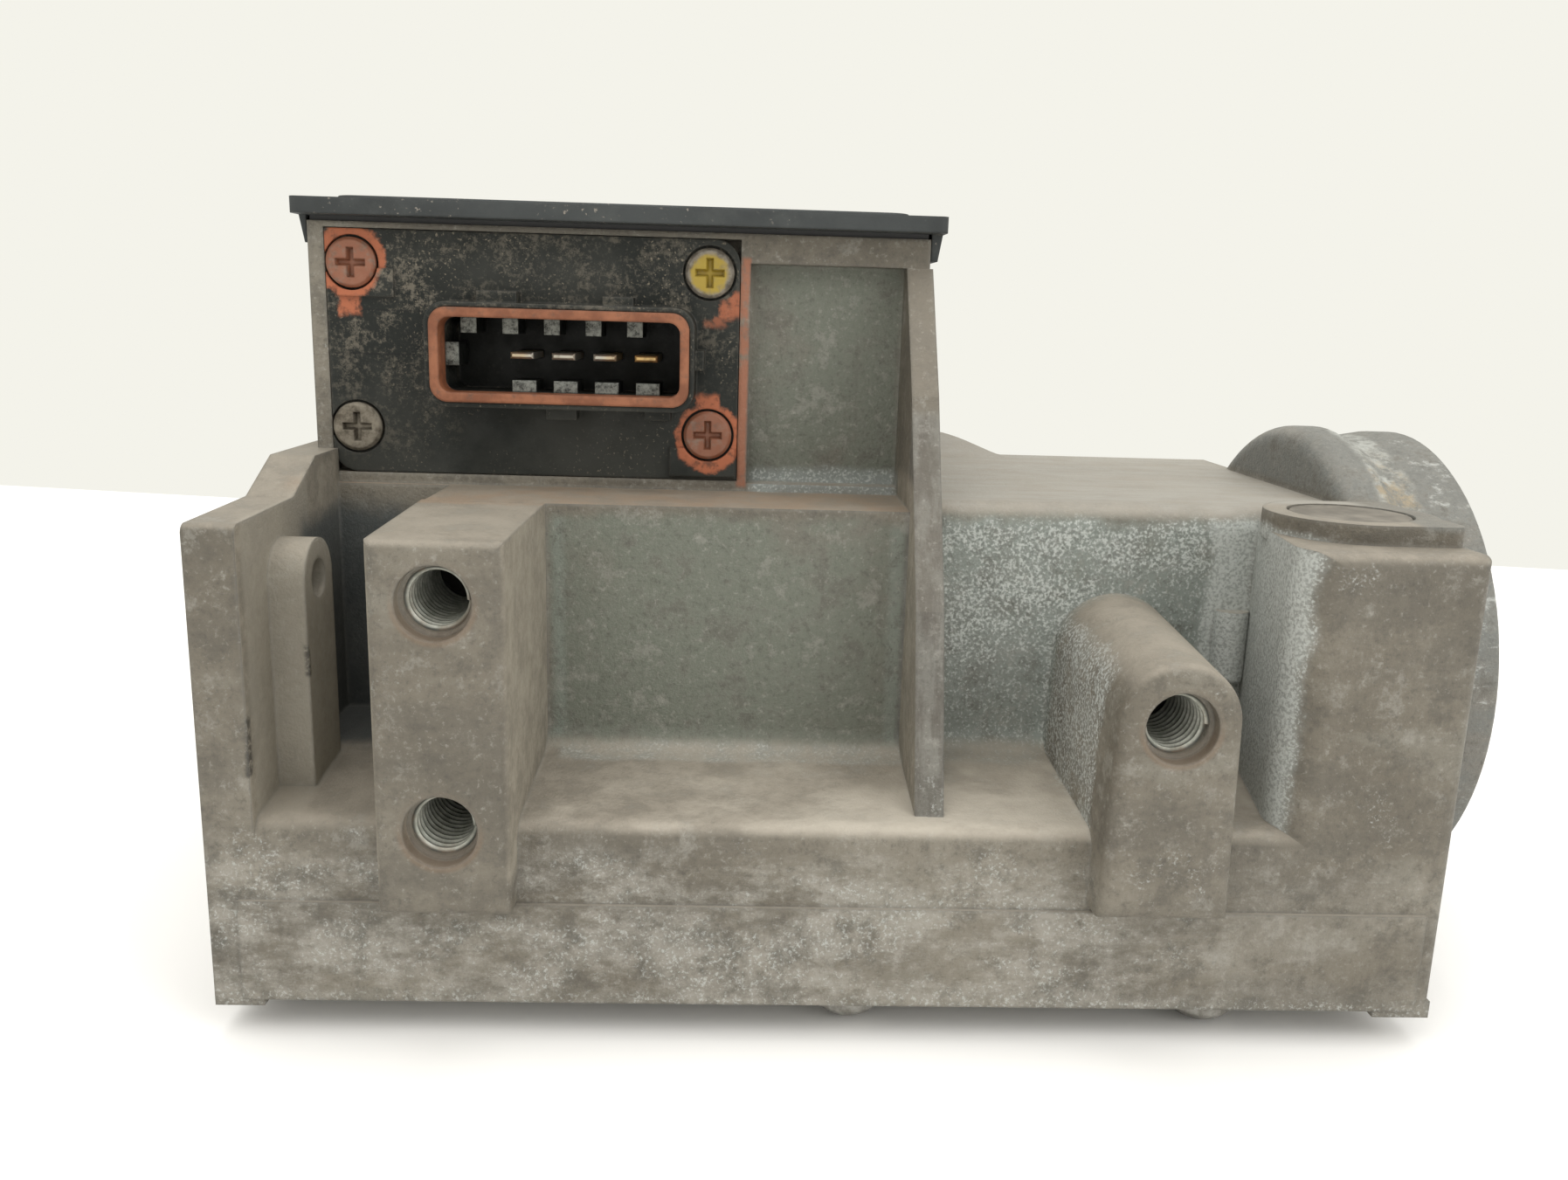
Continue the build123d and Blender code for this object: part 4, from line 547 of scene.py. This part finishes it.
def plate_plastic():
    """The plug plate: black, dusty, smeared with orange marking paint round two screws."""
    s = Shader("plug_plate_plastic")
    broad = s.noise(0.020, 6, 0.6, (2.0, 5.0, 1.0))
    middle = s.noise(0.0040, 7, 0.7, (1.0, 3.0, 6.0))
    color = s.mix(s.step(broad, 0.35, 0.62), (0.014, 0.016, 0.014), (0.036, 0.037, 0.032))
    left = s.region(PLATE_LEFT, 0.004, 0.006)
    high = s.step(s.z, 0.0640, 0.0790)
    powder = s.noise(0.0008, 7, 0.80, (5, 2, 4))
    spread = s.step(s.add(powder, s.times(s.add(middle, -0.5), 0.7)), 0.48, 0.66)
    dust = s.times(spread, s.add(s.times(high, 0.50), s.times(left, 0.32), True))
    color = s.mix(dust, color, (0.165, 0.146, 0.114))
    specks = s.step(s.noise(0.00042, 3, 0.6, (3, 7, 1)), 0.60, 0.68)
    specks = s.times(specks, s.step(s.noise(0.010, 4, 0.6, (7, 7, 7)), 0.42, 0.58))
    color = s.mix(s.times(specks, s.add(0.32, s.times(high, 0.30))), color, (0.27, 0.23, 0.170))
    color = moulding_marks(s, color)
    color = s.mix(s.times(s.edge_mask(0.0004), 0.35), color, (0.130, 0.122, 0.105))

    # The socket is painted dark inside as shade in its cavity, with dusty ends on its keys
    inside = s.times(
        s.band(s.x, *SOCKET_X, 0.00015), s.band(s.z, *SOCKET_Z, 0.00015), s.step(s.y, -0.0170, -0.0168)
    )
    keys = s.times(inside, s.step(s.y, -0.0134, -0.0136))
    color = s.mix(s.times(inside, 0.92), color, (0.006, 0.007, 0.006))
    color = s.mix(s.times(keys, s.step(powder, 0.34, 0.60)), color, (0.230, 0.240, 0.214))

    paint = marking_paint(s)
    color = s.mix(s.times(paint, 0.9), color, (0.40, 0.130, 0.064))
    s.bsdf.inputs["Specular IOR Level"].default_value = 0.20
    height = s.add(s.noise(0.0007, 4, 0.6), s.times(middle, 0.5))
    height = s.add(height, s.times(paint, 0.6))
    normal = s.bump(height, 0.00010, 0.5, s.soft_edges(0.0004))
    rough = s.number(s.step(middle, 0.35, 0.65), 0.40, 0.66)
    return s.finish(color, rough, normal)


def plate_screws():
    """Plate screws: dull zinc, brown with age, two dabbed orange and one yellow."""
    s = Shader("marked_screw")
    middle = s.noise(0.0016, 6, 0.7, (1, 1, 5))
    color = s.mix(s.step(middle, 0.35, 0.65), (0.080, 0.066, 0.048), (0.235, 0.208, 0.165))
    orange = s.most(s.region(UPPER_LEFT_SCREW, 0.0004), s.region(LOWER_RIGHT_SCREW, 0.0004))
    yellow = s.region(UPPER_RIGHT_SCREW, 0.0004)
    patchy = s.step(s.noise(0.0013, 5, 0.7, (6, 1, 2)), 0.34, 0.50)
    away = s.add(s.distance(*YELLOW_DAB_AT), s.times(s.noise(0.0012, 5, 0.7, (2, 8, 1)), 0.0012))
    dab = s.step(away, 0.0032, 0.0026)
    color = s.mix(s.times(orange, s.add(0.45, s.times(patchy, 0.45))), color, (0.235, 0.082, 0.040))
    color = s.mix(s.times(yellow, dab, s.add(0.55, s.times(patchy, 0.4))), color, (0.330, 0.232, 0.022))
    painted = s.most(orange, yellow)
    normal = s.bump(middle, 0.00012, 0.6, s.soft_edges(0.0003))
    return s.finish(color, 0.52, normal, s.number(painted, 0.6, 0.05))


def metal(name, dark, light, roughness, metallic, grain=0.0015):
    """Plain metal or hard plastic, mottled from dark to light."""
    s = Shader(name)
    middle = s.noise(grain, 6, 0.65, (1, 2, 3))
    broad = s.noise(grain * 7, 4, 0.6, (3, 2, 1))
    color = s.mix(s.step(s.add(s.times(middle, 0.6), s.times(broad, 0.4)), 0.38, 0.62), dark, light)
    normal = s.bump(middle, 0.00008, 0.5, s.soft_edges(0.0003))
    rough = s.number(s.step(middle, 0.3, 0.7), roughness - 0.08, roughness + 0.08)
    return s.finish(color, rough, normal, metallic)


def orange_seal():
    """Terracotta rubber with grime in its grain."""
    s = Shader("orange_seal")
    middle = s.noise(0.0028, 6, 0.65, (2, 6, 4))
    color = s.mix(s.step(middle, 0.38, 0.66), (0.172, 0.056, 0.022), (0.270, 0.100, 0.045))
    grime = s.times(s.step(s.noise(0.0014, 6, 0.7, (8, 8, 3)), 0.54, 0.70), 0.65)
    color = s.mix(grime, color, (0.100, 0.055, 0.035))
    color = s.mix(s.times(s.edge_mask(0.0004), 0.25), color, (0.14, 0.075, 0.05))
    normal = s.bump(s.noise(0.0006, 4, 0.6), 0.00008, 0.5, s.soft_edges(0.0005))
    return s.finish(color, 0.62, normal)


def blades():
    """Terminal blades: tinned, some of them gone golden, with dark spots."""
    s = Shader("blade_metal")
    middle = s.noise(0.0012, 5, 0.6, (1, 4, 4))
    gold = s.noise(0.006, 2, 0.5, (2.4, 0, 0), (1, 0.15, 0.15))
    color = s.mix(s.step(gold, 0.42, 0.6), (0.46, 0.44, 0.38), (0.56, 0.38, 0.16))
    color = s.mix(s.times(s.step(middle, 0.55, 0.72), 0.5), color, (0.12, 0.09, 0.06))
    return s.finish(color, 0.34, s.soft_edges(0.00015), 0.9)


def rubber(name, tone):
    """Matt dark rubber, paper or plastic."""
    s = Shader(name)
    middle = s.noise(0.002, 5, 0.6)
    color = s.mix(middle, tone, [c * 1.8 for c in tone])
    return s.finish(color, 0.7, s.bump(middle, 0.00006, 0.5))


def ceramic():
    s = Shader("board_ceramic")
    middle = s.noise(0.0014, 6, 0.6)
    color = s.mix(middle, (0.55, 0.53, 0.47), (0.68, 0.66, 0.60))
    return s.finish(color, 0.5, s.bump(middle, 0.00003, 0.4, s.soft_edges(0.0002)))


def thread_metal():
    """Bright cut threads, with painted shade in their roots, and rusty towards the mouth."""
    s = Shader("cut_thread")
    middle = s.noise(0.0012, 6, 0.7, (1, 2, 2))
    color = s.mix(s.step(middle, 0.35, 0.65), (0.34, 0.35, 0.30), (0.56, 0.57, 0.51))
    reach = None
    for hole_x, _, hole_z, _ in TAPPED_HOLES:
        far = s.distance(hole_x, hole_z)
        reach = far if reach is None else s.math("MINIMUM", reach, far)
    # Painted shade: dark towards the roots of the thread, away from the hole's axis.
    color = s.mix(s.step(reach, 0.00305, 0.00330), color, (0.060, 0.062, 0.052))
    mouth = s.step(s.y, -0.0440, -0.0480)
    rust = s.times(mouth, s.step(s.noise(0.003, 4, 0.6, (4, 4, 1)), 0.45, 0.62), 0.4)
    color = s.mix(rust, color, (0.20, 0.12, 0.07))
    return s.finish(color, s.number(middle, 0.36, 0.56), s.bump(middle, 0.00006, 0.4), 0.45)


looks = {
    "housing_casting": Casting().make(),
    "cover_sheet": metal("cover_sheet", (0.20, 0.19, 0.165), (0.32, 0.31, 0.28), 0.55, 0.4, 0.003),
    "gasket_paper": rubber("gasket_paper", (0.05, 0.05, 0.05)),
    "zinc_screws": metal("zinc_screw", (0.16, 0.15, 0.13), (0.36, 0.35, 0.32), 0.45, 0.7),
    "lid_plastic": lid_plastic(),
    "seal_rubber": rubber("seal_rubber", (0.02, 0.02, 0.02)),
    "plate_plastic": plate_plastic(),
    "orange_rubber": orange_seal(),
    "marked_screws": plate_screws(),
    "blade_metal": blades(),
    "flap_casting": metal("flap_casting", (0.34, 0.34, 0.32), (0.50, 0.50, 0.48), 0.45, 0.6, 0.002),
    "shaft_steel": metal("shaft_steel", (0.42, 0.42, 0.42), (0.58, 0.58, 0.58), 0.28, 1.0),
    "bush_bronze": metal("bush_bronze", (0.30, 0.20, 0.10), (0.46, 0.33, 0.18), 0.38, 0.9),
    "wheel_plastic": metal("wheel_plastic", (0.58, 0.56, 0.50), (0.68, 0.66, 0.60), 0.5, 0.0),
    "wiper_plastic": rubber("wiper_plastic", (0.03, 0.03, 0.03)),
    "board_ceramic": ceramic(),
    "bypass_brass": metal("bypass_brass", (0.44, 0.32, 0.13), (0.60, 0.46, 0.22), 0.32, 1.0),
    "plug_aluminium": metal("plug_cap", (0.130, 0.115, 0.092), (0.235, 0.212, 0.175), 0.6, 0.3, 0.0025),
    "sensor_plastic": rubber("sensor_plastic", (0.03, 0.03, 0.03)),
}
slot_of = {row["node"]: row["material_slot"] for row in frame["record"]["subparts"]}
for name, part in nodes.items():
    part.data.materials.clear()
    part.data.materials.append(looks[slot_of[name]])


# --- Threads in the bracket holes -----------------------------------------------------------
THREAD_START_Y = -0.0482
THREAD_PITCH = 0.001
THREAD_CREST_R = 0.00295
THREAD_ROOT_R = 0.00338
STEPS_A_TURN = 40
# One ridge's section: share of the pitch along Y, and radius
THREAD_SECTION = ((0.0, THREAD_ROOT_R), (0.35, THREAD_CREST_R), (0.55, THREAD_CREST_R), (0.9, THREAD_ROOT_R))


def add_object(name, data):
    obj = bpy.data.objects.new(name, data)
    bpy.context.scene.collection.objects.link(obj)
    return obj


def thread(name, x, z, depth, material):
    """Helical thread lining a hole that enters along +Y from the bracket face."""
    mesh = bmesh.new()
    rows = int(depth / THREAD_PITCH * STEPS_A_TURN)
    sections = []
    for i in range(rows + 1):
        angle = 2 * math.pi * i / STEPS_A_TURN
        y = THREAD_START_Y + depth * i / rows
        sections.append(
            [
                mesh.verts.new(
                    (x + radius * math.cos(angle), y + THREAD_PITCH * share, z + radius * math.sin(angle))
                )
                for share, radius in THREAD_SECTION
            ]
        )
    for a, b in zip(sections, sections[1:]):
        for k in range(len(THREAD_SECTION) - 1):
            mesh.faces.new((a[k], b[k], b[k + 1], a[k + 1]))
    mesh.faces.new(sections[0])
    mesh.faces.new(sections[-1][::-1])
    bmesh.ops.recalc_face_normals(mesh, faces=mesh.faces)
    data = bpy.data.meshes.new(name)
    mesh.to_mesh(data)
    mesh.free()
    data.materials.append(material)
    obj = add_object(name, data)
    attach(obj, "housing")


cut_thread = thread_metal()
for hole_x, thread_length, hole_z, thread_name in TAPPED_HOLES:
    thread(thread_name, hole_x, hole_z, thread_length, cut_thread)


# --- Floor, light, world and camera ---------------------------------------------------------
FLOOR_Z = -0.0001
FLOOR_REACH = 3.0
# The floor's far edge slants, as the photograph's does: its Y at the left and right ends
FLOOR_END_LEFT = 0.841
FLOOR_END_RIGHT = -0.252

CAMERA_AT = Vector((-0.0169, -0.170, 0.0786))
CAMERA_YAW, CAMERA_PITCH, CAMERA_ROLL = (math.radians(angle) for angle in (2.0, 12.46, 1.70))
PHOTO_WIDTH_PX = 1795
FOCAL_LENGTH_PX = 1430
SENSOR_WIDTH_MM = 36.0


def floor():
    """Plain pale matt floor, which ends in the pale background."""
    s = Shader("floor_white", 0.9)
    s.put(s.bsdf.inputs["Base Color"], (0.95, 0.94, 0.915))
    s.put(s.bsdf.inputs["Specular IOR Level"], 0.1)
    data = bpy.data.meshes.new("floor")
    corners = [
        (-FLOOR_REACH, -FLOOR_REACH, FLOOR_Z),
        (FLOOR_REACH, -FLOOR_REACH, FLOOR_Z),
        (FLOOR_REACH, FLOOR_END_RIGHT, FLOOR_Z),
        (-FLOOR_REACH, FLOOR_END_LEFT, FLOOR_Z),
    ]
    data.from_pydata(corners, [], [(0, 1, 2, 3)])
    data.materials.append(s.material)
    add_object("floor", data)


def area_light(name, place, target, size, power, color=(1, 1, 1)):
    light = bpy.data.lights.new(name, "AREA")
    light.shape = "RECTANGLE"
    light.size, light.size_y = size
    light.energy = power
    light.color = color
    obj = add_object(name, light)
    obj.location = place
    obj.rotation_euler = (Vector(target) - Vector(place)).to_track_quat("-Z", "Y").to_euler()


def pale_world():
    """World that lights the object evenly, and looks like a warm pale wall."""
    world = bpy.data.worlds.new("studio")
    bpy.context.scene.world = world
    world.use_nodes = True
    tree = world.node_tree
    tree.nodes.clear()
    output = tree.nodes.new("ShaderNodeOutputWorld")
    lit = tree.nodes.new("ShaderNodeBackground")
    lit.inputs["Color"].default_value = (1.0, 0.99, 0.96, 1)
    lit.inputs["Strength"].default_value = 0.95
    seen = tree.nodes.new("ShaderNodeBackground")
    seen.inputs["Color"].default_value = (0.905, 0.895, 0.825, 1)
    seen.inputs["Strength"].default_value = 1.0
    path = tree.nodes.new("ShaderNodeLightPath")
    mirrored = tree.nodes.new("ShaderNodeMath")
    mirrored.operation = "MAXIMUM"
    shows = tree.nodes.new("ShaderNodeMath")
    shows.operation = "MAXIMUM"
    blend = tree.nodes.new("ShaderNodeMixShader")
    for source, target in (
        (path.outputs["Is Camera Ray"], mirrored.inputs[0]),
        (path.outputs["Is Glossy Ray"], mirrored.inputs[1]),
        (mirrored.outputs[0], shows.inputs[0]),
        (path.outputs["Is Transmission Ray"], shows.inputs[1]),
        (shows.outputs[0], blend.inputs[0]),
        (lit.outputs[0], blend.inputs[1]),
        (seen.outputs[0], blend.inputs[2]),
        (blend.outputs[0], output.inputs[0]),
    ):
        tree.links.new(source, target)


def photo_camera():
    """Camera where the photograph was taken from."""
    level = math.cos(CAMERA_PITCH)
    forward = Vector(
        (math.sin(CAMERA_YAW) * level, math.cos(CAMERA_YAW) * level, -math.sin(CAMERA_PITCH))
    )
    level_right = Vector((math.cos(CAMERA_YAW), -math.sin(CAMERA_YAW), 0))
    level_down = forward.cross(level_right)
    right = level_right * math.cos(CAMERA_ROLL) - level_down * math.sin(CAMERA_ROLL)
    down = level_right * math.sin(CAMERA_ROLL) + level_down * math.cos(CAMERA_ROLL)
    camera = bpy.data.cameras.new("camera")
    camera.sensor_width = SENSOR_WIDTH_MM
    camera.lens = FOCAL_LENGTH_PX / PHOTO_WIDTH_PX * SENSOR_WIDTH_MM
    camera.clip_start = 0.01
    obj = add_object("camera", camera)
    turn = Matrix((right, -down, -forward)).transposed()
    obj.matrix_world = Matrix.Translation(CAMERA_AT) @ turn.to_4x4()
    bpy.context.scene.camera = obj


floor()
area_light("key", (-0.35, -0.55, 0.85), (0, 0, 0.04), (0.7, 0.5), 2.6, (1.0, 0.985, 0.96))
area_light("fill", (0.75, -0.55, 0.55), (0, 0, 0.04), (0.6, 0.6), 3.6, (0.99, 0.995, 1.0))
area_light("top", (0.05, 0.10, 1.0), (0, 0, 0.05), (0.9, 0.7), 3.8)
pale_world()
photo_camera()
bpy.context.scene.view_settings.view_transform = "Standard"
